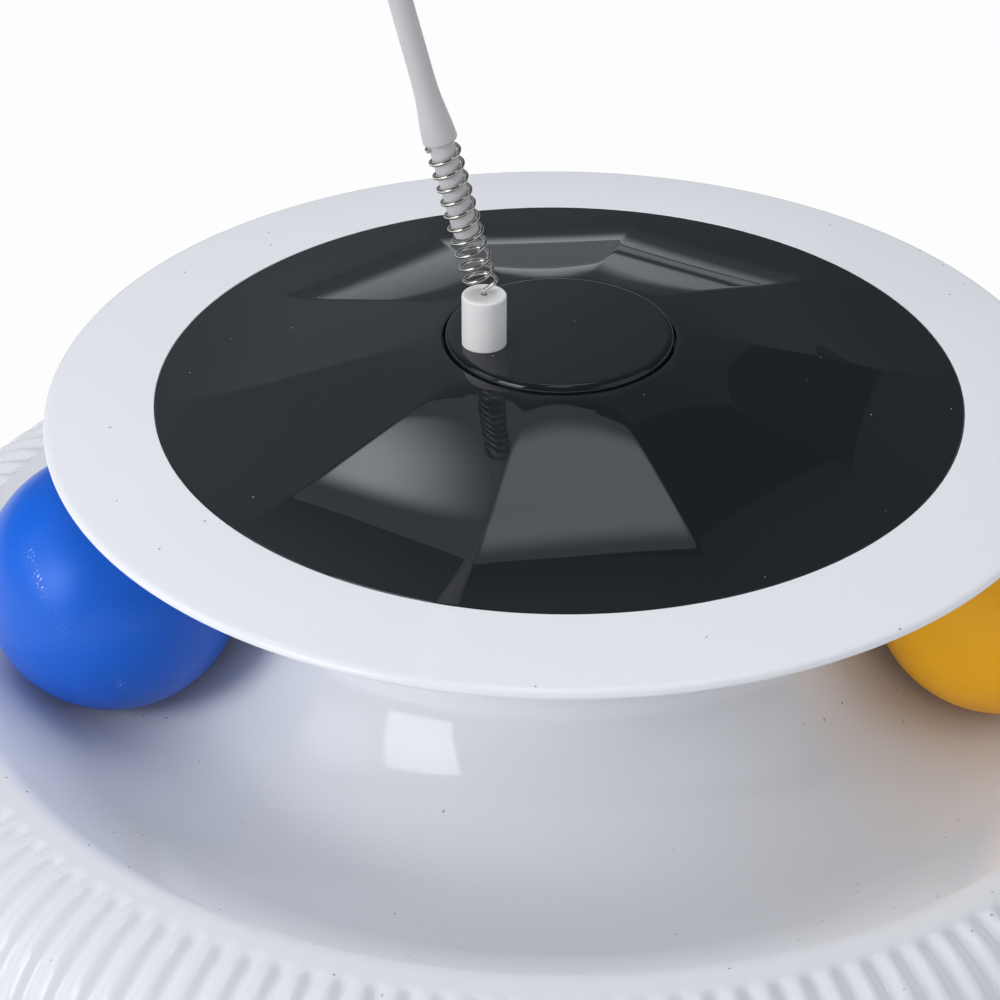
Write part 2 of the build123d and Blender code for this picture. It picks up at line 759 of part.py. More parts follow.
cover = bar(gearbox_radius, cover_bottom, deck_bottom)
cover += bar(gear_boss_radius, level_middle + gear_face + running_gap, cover_bottom, *first_axis)
nodes["gearbox_cover"] = cover.cut(
    bar(deck_bore, cover_bottom - cut_over, deck_bottom + cut_over),
    bar(pin_bore, level_middle, cover_bottom + pin_socket, *first_axis),
    bar(pin_bore, cover_bottom - cut_over, cover_bottom + pin_socket, *second_axis),
    *[hole(gearbox_shank, x, y, cover_bottom - cut_over, deck_bottom + cut_over) for x, y in gearbox_places],
)
pin_top = cover_bottom + pin_socket
nodes["gear_pins"] = Compound(children=[
    bar(gear_pin_radius, tray_bottom, pin_top, *place) for place in (first_axis, second_axis)])
gearbox_screw = (gearbox_shank, gearbox_head, gearbox_head_height, gearbox_screw_end - tray_bottom)
nodes["gearbox_screws"] = Compound(children=[
    screw(*gearbox_screw, x, y, tray_bottom) for x, y in gearbox_places])

# Motor under the tray, with its end cap, terminals and screws

def flatted(radius, flat, bottom, top):
    """Round bar with two flats, about the motor's axis."""
    slab = block(2 * radius + cut_over, 2 * flat, bottom, top)
    form = bar(radius, bottom, top) & slab
    return Pos(*motor_axis, 0) * form.rotate(Axis.Z, motor_angle + 90)


can = flatted(motor_radius, motor_flat, motor_bottom, tray_bottom)
can += bar(motor_boss_radius, tray_bottom, tray_bottom + motor_boss_height, *motor_axis)
nodes["motor_can"] = can.cut(
    bar(motor_shaft_radius + shaft_gap, tray_bottom - motor_shaft_depth - shaft_gap,
        tray_bottom + motor_boss_height + cut_over, *motor_axis),
    *[hole(motor_shank, x, y, motor_head_seat - motor_screw_length - shaft_gap, tray_bottom + cut_over)
      for x, y in motor_screw_places],
)
nodes["motor_end_cap"] = flatted(motor_cap_radius, motor_cap_flat, terminal_top, motor_bottom)
terminal = block(terminal_thickness, terminal_width, terminal_bottom, terminal_top)
terminal_places = [polar(motor_axis, terminal_spread / 2, motor_angle + 90 + 180 * i) for i in range(2)]
nodes["motor_terminals"] = Compound(children=[
    Pos(x, y, 0) * terminal.rotate(Axis.Z, motor_angle + 90) for x, y in terminal_places])
motor_screw = (motor_shank, motor_head, motor_head_height, motor_screw_length)
nodes["motor_screws"] = Compound(children=[
    screw(*motor_screw, x, y, motor_head_seat, upward=False) for x, y in motor_screw_places])
lid_screw = (lid_shank, lid_head, lid_head_height, lid_screw_end - web_bottom)
nodes["lid_screws"] = Compound(children=[screw(*lid_screw, x, y, web_bottom) for x, y in lid_screw_places])

# Base cover with the battery bay, switch slot, board posts and feet

door_top = base_bottom + door_thickness
door_seat = base_bottom + door_head_height
cell_pitch = cell_diameter + cell_gap
bay_length = cell_length + contact_room + 2 * contact_thickness
bay_width = cell_count * cell_pitch + cell_gap
ear_y = bay_center_y - bay_width / 2 - door_ear_reach
door_boss_top = base_top + door_boss_height
board_bottom = base_top + switch_height
board_post_places = [(side * (board_length / 2 - board_post_inset), board_center_y) for side in (-1, 1)]
board_top = board_bottom + board_thickness
lead_height = board_top + lead_lift + lead_radius
first_row_y = bay_center_y - cell_pitch * (cell_count - 1) / 2
cell_rows = [(first_row_y + cell_pitch * i, 1 - 2 * (i % 2)) for i in range(cell_count)]
slot_length = knob_length + switch_travel + 2 * running_gap
slot_width = knob_width + 2 * running_gap
base_radius = shell_foot_radius - base_inset
base_lip_radius = shell_foot_bore - running_gap
foot_places = around(crest_radius - foot_inset, foot_count, foot_turn)
foot_top = base_bottom + foot_recess
base_head_seat = base_bottom + base_head_height


def door_form(ease, bottom, top):
    """Door outline with its screw ear, grown all round by an ease."""
    plate = block(bay_length + 2 * ease, bay_width + 2 * ease, bottom, top, 0, bay_center_y)
    return plate + bar(door_ear_radius + ease, bottom, top, 0, ear_y)


lead_pass = Cylinder(lead_radius + seat_gap, bay_wall + cut_over, rotation=(0, 90, 0))
lead_pass_x = (bay_length + bay_wall + cut_over) / 2
lead_passes = [Pos(-lead_pass_x, cell_rows[0][0], lead_height) * lead_pass,
               Pos(lead_pass_x, cell_rows[-1][0], lead_height) * lead_pass]
plate = bar(base_radius, base_bottom, base_top)
plate = fillet(plate.edges().group_by(Axis.Z)[0], base_edge_round)
base_lip = bar(base_lip_radius, base_top, base_top + base_lip_height)
base_lip -= bar(base_lip_radius - base_lip_width, base_top, base_top + base_lip_height)
tub = block(bay_length + 2 * bay_wall, bay_width + 2 * bay_wall, base_top, bay_outer_top, 0, bay_center_y)
base = fuse([
    plate,
    base_lip,
    tub,
    bar(door_boss_radius, base_top, door_boss_top, 0, ear_y),
    *[bar(board_post_radius, base_top, board_bottom, x, y) for x, y in board_post_places],
])
nodes["base_cover"] = base.cut(
    block(bay_length, bay_width, base_top, bay_roof, 0, bay_center_y),
    block(bay_length - 2 * bay_ledge, bay_width, base_bottom - cut_over, bay_roof, 0, bay_center_y),
    door_form(running_gap, base_bottom - cut_over, door_top),
    hole(door_shank, 0, ear_y, base_bottom, door_seat + door_screw_length + screw_end_room),
    block(slot_length, slot_width, base_bottom - cut_over, base_top + cut_over, 0, board_center_y),
    *[hole(board_shank, x, y, board_bottom - board_screw_length, board_bottom + cut_over)
      for x, y in board_post_places],
    *[bar(foot_radius + seat_gap, base_bottom - cut_over, foot_top, x, y) for x, y in foot_places],
    *[hole(base_shank, x, y, base_bottom - cut_over, base_top + cut_over) for x, y in base_screw_places],
    *[bar(base_head + seat_gap, base_bottom - cut_over, base_head_seat, x, y) for x, y in base_screw_places],
    *lead_passes,
)
nodes["rubber_feet"] = Compound(children=[bar(foot_radius, 0, foot_top, x, y) for x, y in foot_places])
base_screw = (base_shank, base_head, base_head_height, base_screw_length)
nodes["base_screws"] = Compound(children=[
    screw(*base_screw, x, y, base_head_seat) for x, y in base_screw_places])

# Battery door and its screw

door = door_form(0, base_bottom, door_top)
door -= hole(door_shank, 0, ear_y, base_bottom - cut_over, door_top + cut_over)
nodes["battery_door"] = door - bar(door_head + seat_gap, base_bottom - cut_over, door_seat, 0, ear_y)
nodes["door_screw"] = screw(door_shank, door_head, door_head_height, door_screw_length, 0, ear_y, door_seat)

# Cells and their contacts

can_length = cell_length - cell_nub_height
can_body = Cylinder(cell_diameter / 2, can_length, rotation=(0, 90, 0), align=UP)
can_body = fillet(can_body.edges().filter_by(GeomType.CIRCLE), cell_edge_round)
nub = Cylinder(cell_nub_radius, cell_nub_height, rotation=(0, 90, 0), align=UP)
cell = can_body + Pos(can_length, 0, 0) * nub
cell_start = contact_thickness + contact_room - bay_length / 2
tab = Box(contact_thickness, contact_width, contact_width, align=(Align.MIN, Align.CENTER, Align.CENTER))
leaf_reach = contact_room - seat_gap
leaf_half = contact_width * leaf_share
leaf_line = [(0, -leaf_half), (leaf_reach, 0), (0, leaf_half)]
leaf_inner = [(0, leaf_half - 2 * contact_thickness), (leaf_reach - 2 * contact_thickness, 0),
              (0, 2 * contact_thickness - leaf_half)]
leaf_face = Plane.XZ * make_face(Polyline(leaf_line + leaf_inner, close=True))
leaf_spring = extrude(leaf_face, leaf_half / 2, both=True)
negative = tab + Pos(contact_thickness, 0, 0) * leaf_spring


def in_row(solid, x, row):
    """Piece of the bay turned to face along its row of cells."""
    y, way = row
    return Pos(0, y, cell_height) * (Pos(x, 0, 0) * solid).rotate(Axis.Z, 90 - 90 * way)


nodes["battery_cells"] = Compound(children=[in_row(cell, cell_start, row) for row in cell_rows])
nodes["contact_springs"] = Compound(children=[in_row(negative, -bay_length / 2, row) for row in cell_rows])
plus_start = bay_length / 2 - contact_thickness
nodes["contact_plates"] = Compound(children=[in_row(tab, plus_start, row) for row in cell_rows])

# Slide switch and circuit board

slider_rest = -switch_travel / 2
cavity_length = slider_length + switch_travel + 2 * running_gap
cavity_width = switch_width - 2 * switch_wall
cavity_top = base_top + slider_height + 2 * running_gap
switch = block(switch_length, switch_width, base_top, board_bottom, 0, board_center_y)
cavity = block(cavity_length, cavity_width, base_top - cut_over, cavity_top, 0, board_center_y)
nodes["switch_body"] = switch - cavity
slider_bottom = base_top + running_gap
slider = block(slider_length, cavity_width - 2 * running_gap, slider_bottom, slider_bottom + slider_height,
               slider_rest, board_center_y)
nodes["switch_slider"] = slider + block(knob_length, knob_width, base_bottom - knob_proud, slider_bottom,
                                        slider_rest, board_center_y)
board = block(board_length, board_width, board_bottom, board_top, 0, board_center_y)
nodes["circuit_board"] = board - [hole(board_shank, x, y, board_bottom - cut_over, board_top + cut_over)
                                  for x, y in board_post_places]
board_screw = (board_shank, board_head, board_head_height, board_screw_length)
nodes["board_screws"] = Compound(children=[
    screw(*board_screw, x, y, board_top, upward=False) for x, y in board_post_places])

# Leads from the motor's terminals and the ends of the row of cells down to the board


def lead(points):
    """Insulated wire along straight runs with rounded corners."""
    path = FilletPolyline(*points, radius=lead_bend)
    return sweep(Plane(path @ 0, z_dir=path % 0) * Circle(lead_radius), path=path)


motor_lead_height = terminal_bottom - motor_lead_drop
motor_lead_y = board_center_y + board_width / 6
motor_leads = []
for i, (x, y) in enumerate(terminal_places):
    end_x = motor_axis[0] + motor_lead_gap * (1 - i)
    motor_leads.append(lead([(x, y, terminal_bottom), (x, y, motor_lead_height),
                             (end_x, motor_lead_y, motor_lead_height), (end_x, motor_lead_y, board_top)]))
nodes["motor_leads"] = Compound(children=motor_leads)
battery_lead_y = board_center_y + board_width / 3
battery_leads = []
for (y, _), side in zip((cell_rows[0], cell_rows[-1]), (-1, 1)):
    out_x = side * (bay_length / 2 + bay_wall + lead_margin)
    end_x = side * (board_length / 2 - lead_margin)
    battery_leads.append(lead([(side * bay_length / 2, y, lead_height), (out_x, y, lead_height),
                               (out_x, battery_lead_y, lead_height), (end_x, battery_lead_y, lead_height),
                               (end_x, battery_lead_y, board_top)]))
nodes["battery_leads"] = Compound(children=battery_leads)

# One file for each piece

os.makedirs("parts", exist_ok=True)
for name, solid in nodes.items():
    export_step(solid, f"parts/{name}.step")
    print(f"{name}: {len(solid.solids())} solids, {sum(s.volume for s in solid.solids()):.0f} mm3")
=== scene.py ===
# %% [markdown]
# # Automatic cat toy
# A fluted white body carries an open ball track under a wide lid. A gloss black inset with ten facets
# crowns the lid, and a small disc in its middle spins a post, a coil spring and a feather wand.
# Each step below makes one piece or one finish, in the same frame as the solids. Sizes are written in
# millimetres and MM turns them into Blender's metres.

# %% The solids
import json
import math

import bmesh
import bpy
import numpy as np
from mathutils import Matrix, Vector


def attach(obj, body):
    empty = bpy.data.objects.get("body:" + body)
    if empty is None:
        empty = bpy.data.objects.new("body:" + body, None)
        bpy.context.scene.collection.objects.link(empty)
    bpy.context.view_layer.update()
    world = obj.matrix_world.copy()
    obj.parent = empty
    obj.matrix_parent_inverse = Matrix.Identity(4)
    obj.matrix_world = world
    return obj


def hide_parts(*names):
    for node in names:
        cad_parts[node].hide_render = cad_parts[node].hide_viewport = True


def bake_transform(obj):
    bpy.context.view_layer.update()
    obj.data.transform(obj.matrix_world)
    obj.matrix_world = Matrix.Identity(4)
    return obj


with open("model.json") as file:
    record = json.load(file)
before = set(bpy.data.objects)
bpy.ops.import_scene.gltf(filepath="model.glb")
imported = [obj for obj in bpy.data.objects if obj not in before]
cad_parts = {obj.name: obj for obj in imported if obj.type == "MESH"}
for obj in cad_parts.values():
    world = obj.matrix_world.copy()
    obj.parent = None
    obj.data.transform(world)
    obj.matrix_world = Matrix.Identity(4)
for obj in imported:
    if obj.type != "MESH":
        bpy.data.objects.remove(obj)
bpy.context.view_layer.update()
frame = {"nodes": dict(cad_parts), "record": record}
nodes = frame["nodes"]
MM = 0.001
TURN = 2 * math.pi


# %% [markdown]
# ## Helpers for objects and nodes
# Every piece ends as an object in the scene, and every finish is a tree of nodes. Both could be written out
# each time. A few short helpers keep the later cells to what is particular to them: an input of a node takes
# either a plain value or another node's output, so one helper sets both.


# %% Object and node helpers
def put(name, data):
    """New object in the scene, at the origin."""
    thing = bpy.data.objects.new(name, data)
    bpy.context.scene.collection.objects.link(thing)
    return thing


def join(tree, socket, value):
    """Input that takes a link from another node's output, or a plain value."""
    if isinstance(value, bpy.types.NodeSocket):
        tree.links.new(value, socket)
    else:
        socket.default_value = value


def feed(tree, node, **named):
    """Inputs of a node set by name, with _ in place of a space."""
    for key, value in named.items():
        join(tree, node.inputs[key.replace("_", " ")], value)


def add(tree, kind, *values, settings=None, **named):
    """New node with its settings, and its inputs set in order or by name."""
    node = tree.nodes.new(kind)
    for key, setting in (settings or {}).items():
        setattr(node, key, setting)
    for socket, value in zip(node.inputs, values):
        join(tree, socket, value)
    feed(tree, node, **named)
    return node


def maths(tree, operation, *values):
    """Result of one sum on numbers."""
    return add(tree, "ShaderNodeMath", *values, settings={"operation": operation}).outputs[0]


def vector_maths(tree, operation, *values):
    """Outputs of one sum on vectors, Vector or Value."""
    return add(tree, "ShaderNodeVectorMath", *values, settings={"operation": operation}).outputs


def mixed(tree, share, first, second):
    """Shader between two shaders."""
    return add(tree, "ShaderNodeMixShader", share, first, second).outputs[0]


# %% [markdown]
# ## Camera
# The view looks down on the lid from the front. A tracking constraint could aim the camera, but its place,
# three angles and lens were fitted to the ellipses of the lid, the inset and the spinning disc, and to the
# outline of a ball. A matrix of right, up and back vectors keeps that fit, so the same circles fall on the
# same pixels.

# %% Camera
camera_place = Vector((-7.5, -436.0, 326.26)) * MM
camera_pitch = math.radians(31.845)
camera_yaw = math.radians(-0.183)
camera_roll = math.radians(0.166)
camera_lens, sensor_width, nearest = 119.05, 36, 0.01

forward = Vector((math.sin(camera_yaw) * math.cos(camera_pitch),
                  math.cos(camera_yaw) * math.cos(camera_pitch), -math.sin(camera_pitch)))
level = Vector((math.cos(camera_yaw), -math.sin(camera_yaw), 0))
upright = level.cross(forward)
right = level * math.cos(camera_roll) + upright * math.sin(camera_roll)
up = upright * math.cos(camera_roll) - level * math.sin(camera_roll)
camera_data = bpy.data.cameras.new("photo_camera")
camera_data.lens = camera_lens
camera_data.sensor_width = sensor_width
camera_data.clip_start = nearest
camera = put("photo_camera", camera_data)
turn = Matrix((right, up, -forward)).transposed()
camera.matrix_world = Matrix.Translation(camera_place) @ turn.to_4x4()
scene = bpy.context.scene
scene.camera = camera
print("camera", [round(x, 3) for x in camera.location])

# %% [markdown]
# ## Light, floor and background
# The photograph looks like one from a light tent: a white ground, large soft panels and a bright room. One
# plain world could light it all, but gloss plastic shows what it mirrors. So area lamps light the toy, cards
# that glow are the panels it mirrors, and a pale world fills the rest. The ground is a plain plane that
# glows for the camera alone: it looks nearly white, keeps a faint shadow and throws no glow on the toy. It
# is clear from below, where one more lamp lights the underside.

# %% World
fill_colour, fill_strength = (0.93, 0.95, 1.0, 1), 0.46
mirror_colour, mirror_strength = (0.80, 0.90, 1.0, 1), 0.07
scene.view_settings.view_transform = "Standard"
world = bpy.data.worlds.new("light_tent")
scene.world = world
world.use_nodes = True
tent = world.node_tree
tent.nodes.clear()
fill = add(tent, "ShaderNodeBackground", fill_colour, fill_strength).outputs[0]
mirrored = add(tent, "ShaderNodeBackground", mirror_colour, mirror_strength).outputs[0]
seen = add(tent, "ShaderNodeBackground", (1, 1, 1, 1), 1.0).outputs[0]
rays = add(tent, "ShaderNodeLightPath").outputs
unseen = mixed(tent, rays["Is Glossy Ray"], fill, mirrored)
add(tent, "ShaderNodeOutputWorld", mixed(tent, rays["Is Camera Ray"], unseen, seen))
print("world:", world.name)

# %% Lamp and card helpers
toy_middle = (0, 0, 60)
card_colour = (0.86, 0.93, 1.0, 1)


def aimed(name, data, place, aim):
    """Object at a place in millimetres, its back axis turned away from the point it faces."""
    thing = put(name, data)
    thing.location = Vector(place) * MM
    toward = (Vector(aim) - Vector(place)).normalized()
    thing.rotation_euler = toward.to_track_quat("-Z", "Y").to_euler()
    return thing


def lamp(name, place, width, height, watts):
    """Soft rectangular lamp that lights the toy but isn't mirrored in it."""
    data = bpy.data.lights.new(name, "AREA")
    data.shape = "RECTANGLE"
    data.size = width * MM
    data.size_y = height * MM
    data.energy = watts
    aimed(name, data, place, toy_middle).visible_glossy = False


def bare_material(name):
    """Material with an empty node tree."""
    material = bpy.data.materials.new(name)
    material.use_nodes = True
    material.node_tree.nodes.clear()
    return material, material.node_tree


def sheet(name, x, y, material, corners):
    """Flat rectangle with half sides x and y, its corners taken in the order that sets its face."""
    mesh = bpy.data.meshes.new(name)
    mesh.from_pydata([(-x, -y, 0), (x, -y, 0), (x, y, 0), (-x, y, 0)], [], [corners])
    mesh.materials.append(material)
    return mesh


def card(name, place, width, height, edge, heart, soft=0.25, aim=toy_middle, roll=0.0, heart_at=(0, 0)):
    """Glowing card that is only mirrored: its glow climbs from the edge to a heart on it."""
    x, y = width * MM / 2, height * MM / 2
    glow, tree = bare_material(name)
    spread = add(tree, "ShaderNodeMapping", Vector=add(tree, "ShaderNodeTexCoord").outputs["Object"],
                 Location=(-heart_at[0], -heart_at[1], 0), Scale=(1 / x, 1 / y, 1))
    fade = add(tree, "ShaderNodeTexGradient", Vector=spread.outputs["Vector"],
               settings={"gradient_type": "SPHERICAL"})
    climb = add(tree, "ShaderNodeMapRange", Value=fade.outputs["Fac"], From_Max=soft, To_Min=edge,
                To_Max=heart, settings={"interpolation_type": "SMOOTHSTEP"})
    light = add(tree, "ShaderNodeEmission", Color=card_colour, Strength=climb.outputs["Result"])
    add(tree, "ShaderNodeOutputMaterial", light.outputs[0])
    thing = aimed(name, sheet(name, x, y, glow, (3, 2, 1, 0)), place, aim)
    rolled = thing.rotation_euler.to_matrix() @ Matrix.Rotation(math.radians(roll), 3, "Z")
    thing.rotation_euler = rolled.to_euler()
    thing.visible_camera = False
    thing.visible_diffuse = False
    thing.visible_shadow = False


# %% Lamps and cards
lamp("lamp_top", (-120, 140, 1150), 900, 900, 6.5)
lamp("lamp_left", (-900, -560, 420), 420, 420, 6.0)
lamp("lamp_right", (950, -300, 600), 500, 600, 1.2)
lamp("lamp_front", (-100, -1200, 300), 900, 500, 1.2)
lamp("lamp_below", (0, 0, -900), 900, 900, 4.0)
card("card_top", (-90, 497, 930), 560, 260, 0.5, 1.85, 0.8, aim=(-90, 497, 0), roll=-24.5,
     heart_at=(0.6, -0.23))
card("card_glow", (-282, 518, 925), 140, 200, 0.5, 4.3, 1.0, aim=(-282, 518, 0))
card("card_wall", (-420, 1700, 1000), 2400, 2000, 0.12, 0.31, 0.7, heart_at=(0.2, 0))
card("card_horizon", (-60, 1500, 210), 1100, 300, 0.15, 0.9, 1.0, heart_at=(0, -0.85))
card("card_ground", (-60, 1400, 4), 3000, 2000, 0.28, 0.28, aim=(-60, 1400, 1000))
card("card_over", (0, -100, 1200), 340, 300, 0.3, 3.2, 0.6)
card("card_window", (-720, -651, 415), 440, 590, 3.8, 4.8, 0.8, aim=(-20, -43, 40), heart_at=(0.5, 0))
card("card_left", (-917, -169, 463), 560, 700, 0.6, 1.5, 0.5, aim=(-20, -43, 40))
card("card_right", (870, -410, 440), 1150, 830, 0.3, 0.6, 0.3, aim=(20, -43, 40))
print("lamps:", len(bpy.data.lights))

# %% Floor
floor_half, floor_colour, glow_share = 4.0, (0.86, 0.87, 0.88, 1), 0.88
floor_paint, ground = bare_material("floor_paint")
matt = add(ground, "ShaderNodeBsdfDiffuse", Color=floor_colour).outputs[0]
bright = add(ground, "ShaderNodeEmission", Strength=1.0).outputs[0]
clear = add(ground, "ShaderNodeBsdfTransparent").outputs[0]
to_camera = add(ground, "ShaderNodeLightPath").outputs["Is Camera Ray"]
from_below = add(ground, "ShaderNodeNewGeometry").outputs["Backfacing"]
upper = mixed(ground, maths(ground, "MULTIPLY", to_camera, glow_share), matt, bright)
add(ground, "ShaderNodeOutputMaterial", mixed(ground, from_below, upper, clear))
floor = put("floor", sheet("floor", floor_half, floor_half, floor_paint, (0, 1, 2, 3)))
floor.visible_shadow = False
print("floor, metres across:", 2 * floor_half)


# %% [markdown]
# ## Finishes
# Moulded plastic is never one flat colour: gloss varies with handling, and fine dust settles on it. Painted
# pictures could show that, but noise needs no unwrapping and has no seams. Each finish starts from small
# helpers that lay a slow noise over the roughness, a fine noise over the surface and, where asked, small
# specks. All patterns read Object coordinates, so they stay put when a piece moves.


# %% Finish helpers
def finish_nodes(name):
    """New material with its node tree, its shader and Object coordinates."""
    material = bpy.data.materials.new(name)
    material.use_nodes = True
    tree = material.node_tree
    place = add(tree, "ShaderNodeTexCoord").outputs["Object"]
    return material, tree, tree.nodes["Principled BSDF"], place


def noise(tree, place, scale, detail=3.0):
    """Noise of a given number of waves in each metre."""
    return add(tree, "ShaderNodeTexNoise", Vector=place, Scale=scale, Detail=detail).outputs["Fac"]


def ramp(tree, source, low, high, low_value, high_value):
    """Straight change of one number into another range."""
    return add(tree, "ShaderNodeMapRange", Value=source, From_Min=low, From_Max=high, To_Min=low_value,
               To_Max=high_value).outputs["Result"]


def uneven(tree, place, scale, least, most):
    """Number that wanders between two values with a slow noise."""
    return ramp(tree, noise(tree, place, scale), 0.3, 0.7, least, most)


def shaded(colour, share):
    """Colour made darker."""
    return tuple(part * share for part in colour)


def tint(tree, factor, first, second):
    """Colour between two colours, each plain or another node's output."""
    node = add(tree, "ShaderNodeMix", Factor=factor, settings={"data_type": "RGBA"})
    ends = [socket for socket in node.inputs if socket.type == "RGBA"]
    for socket, colour in zip(ends, (first, second)):
        join(tree, socket, colour if isinstance(colour, bpy.types.NodeSocket) else (*colour, 1))
    return [socket for socket in node.outputs if socket.type == "RGBA"][0]


def bump(tree, shader, height, strength):
    """Surface relief of up to a fifth of a millimetre, from a height."""
    relief = add(tree, "ShaderNodeBump", Height=height, Strength=strength, Distance=0.2 * MM)
    feed(tree, shader, Normal=relief.outputs["Normal"])


def specks(tree, place, scale, size):
    """Sparse round specks in about a quarter of the cells: 1 on a speck and 0 elsewhere."""
    cells = add(tree, "ShaderNodeTexVoronoi", Vector=place, Scale=scale).outputs
    near = ramp(tree, cells["Distance"], size, size * 0.6, 0.0, 1.0)
    draw = add(tree, "ShaderNodeSeparateColor", cells["Color"]).outputs["Red"]
    return maths(tree, "MULTIPLY", near, maths(tree, "GREATER_THAN", draw, 0.72))


# %% [markdown]
# ### Moulded plastics
# The body and lid are gloss white with a few brown dust specks, the inset and spinning disc are gloss black
# with pale dust, and the wand and post are a satin white with a stronger grain. One helper makes them all
# from a colour, a gloss and a grain. The body's rim is darkened a little with painted shade, to meet
# its tone in the photograph: a ramp on the distance from the upright axis does that without a second piece.


# %% Moulded plastics
def from_axis(tree, place):
    """Distance from the toy's upright axis."""
    flat = vector_maths(tree, "MULTIPLY", place, (1, 1, 0))["Vector"]
    return vector_maths(tree, "LENGTH", flat)["Value"]


def moulded_plastic(name, colour, gloss, grain, dust=None, rim_painted_shade=None):
    """Plastic with uneven gloss, a faint grain, optional dust and optional painted shade on the rim."""
    material, tree, shader, place = finish_nodes(name)
    base = tint(tree, noise(tree, place, 14.0), shaded(colour, 0.955), colour)
    # Painted shade: the rim is painted darker by a ramp on the distance from the axis.
    if rim_painted_shade:
        start, full, share = rim_painted_shade
        rim = ramp(tree, from_axis(tree, place), start * MM, full * MM, 0.0, 1.0)
        base = tint(tree, rim, base, shaded(colour, share))
    if dust:
        dust_colour, dust_scale, dust_size = dust
        base = tint(tree, specks(tree, place, dust_scale, dust_size), base, dust_colour)
    rough = uneven(tree, place, 55.0, gloss * 0.85, gloss * 1.25)
    feed(tree, shader, Base_Color=base, Roughness=rough)
    bump(tree, shader, noise(tree, place, 900.0, 4.0), grain)
    return material


white = (0.74, 0.755, 0.79)
brown_dust = ((0.36, 0.28, 0.22), 300.0, 0.075)
pale_dust = ((0.45, 0.45, 0.45), 320.0, 0.04)
white_gloss = moulded_plastic("white_gloss", white, 0.07, 0.02, brown_dust)
# The body's rim carries painted shade: 14 percent darker, ramping in from 91 to 97 mm off the axis.
body_gloss = moulded_plastic("body_gloss", white, 0.07, 0.02, brown_dust, rim_painted_shade=(91.0, 97.0, 0.86))
white_satin = moulded_plastic("white_satin", (0.76, 0.76, 0.76), 0.42, 0.08)
# Painted shade: this copy of the satin white is painted grey, darker than the post's, for the rod.
wand_satin_painted_shade = moulded_plastic("wand_satin_painted_shade", (0.50, 0.50, 0.51), 0.38, 0.08)
black_gloss = moulded_plastic("black_gloss", (0.009, 0.011, 0.014), 0.025, 0.002, pale_dust)
gear_plastic = moulded_plastic("gear_plastic", (0.80, 0.78, 0.68), 0.38, 0.05)
drive_grey = moulded_plastic("drive_grey", (0.06, 0.062, 0.066), 0.45, 0.10)
nylon_white = moulded_plastic("nylon_white", (0.74, 0.74, 0.70), 0.5, 0.05)
foot_rubber = moulded_plastic("foot_rubber", (0.022, 0.022, 0.022), 0.78, 0.25)
lead_sleeve = moulded_plastic("lead_sleeve", (0.45, 0.03, 0.03), 0.45, 0.05)
print("finishes so far:", len(bpy.data.materials))


# %% [markdown]
# ### Metals
# Nickel wire, zinc-plated screws and bronze bushes are all metals with a colour of their own. Turning and
# drawing leave fine lines. Real grooves would take far too many faces, so a noise squeezed along one axis
# draws the lines in the gloss.


# %% Metals
def drawn_metal(name, colour, gloss, line_scale):
    """Metal with fine drawn lines in its gloss."""
    material, tree, shader, place = finish_nodes(name)
    base = tint(tree, noise(tree, place, 220.0), shaded(colour, 0.86), colour)
    squeezed = add(tree, "ShaderNodeMapping", Vector=place, Scale=(1.0, 1.0, 12.0)).outputs["Vector"]
    lines = noise(tree, squeezed, line_scale, 5.0)
    feed(tree, shader, Metallic=1.0, Base_Color=base,
         Roughness=ramp(tree, lines, 0.3, 0.7, gloss * 0.7, gloss * 1.4))
    return material


spring_nickel = drawn_metal("spring_nickel", (0.80, 0.75, 0.68), 0.12, 500.0)
steel_bright = drawn_metal("steel_bright", (0.60, 0.60, 0.61), 0.28, 400.0)
contact_metal = drawn_metal("contact_metal", (0.68, 0.66, 0.62), 0.25, 400.0)
bronze = drawn_metal("bronze", (0.60, 0.40, 0.20), 0.34, 400.0)
motor_zinc = drawn_metal("motor_zinc", (0.56, 0.56, 0.57), 0.35, 300.0)
print("finishes so far:", len(bpy.data.materials))


# %% [markdown]
# ### Balls' skin
# The balls are thin hollow mouldings with a satin skin. A slow noise clouds the colour, a fine one gives the
# skin its tooth, and where a ball is worn, pale scuffs run along the joint of its two halves. A picture of
# them would need a map of the skin, so the scuffs are a product of three masks: near the joint, in patches,
# and on small chips.


# %% Balls' skin
def ball_skin(name, colour, cloud, centre, seam, worn):
    """Satin coloured skin with pale scuffs along a seam plane through the ball's centre."""
    material, tree, shader, place = finish_nodes(name)
    base = tint(tree, noise(tree, place, 120.0, 5.0), cloud, colour)
    offset = vector_maths(tree, "SUBTRACT", place, centre)["Vector"]
    off_seam = maths(tree, "ABSOLUTE", vector_maths(tree, "DOT_PRODUCT", offset, seam)["Value"])
    band = ramp(tree, off_seam, 0.4 * MM, 1.1 * MM, 1.0, 0.0)
    chips = ramp(tree, noise(tree, place, 2600.0, 2.0), 0.60, 0.68, 0.0, worn)
    patches = ramp(tree, noise(tree, place, 90.0, 1.0), 0.50, 0.58, 0.0, 1.0)
    scuffs = maths(tree, "MULTIPLY", maths(tree, "MULTIPLY", band, chips), patches)
    base = tint(tree, scuffs, base, tuple(0.6 + 0.3 * part for part in colour))
    rough = uneven(tree, place, 60.0, 0.28, 0.36)
    feed(tree, shader, Base_Color=base, Roughness=rough, Specular_IOR_Level=0.36)
    bump(tree, shader, noise(tree, place, 2200.0, 4.0), 0.20)
    return material


# %% [markdown]
# ## Turned pieces
# Most of the toy is turned: lid, disc, post, cap and wand. A Screw modifier could spin an outline, but plain
# rings of points leave the mesh in our hands. One helper spins a list of radius and height points, and
# another rounds the corners of such a list first, because a moulded edge is never sharp. The list runs
# anticlockwise round the section, so that the faces point outwards.


# %% Outline and mesh helpers
side_share = 0.48


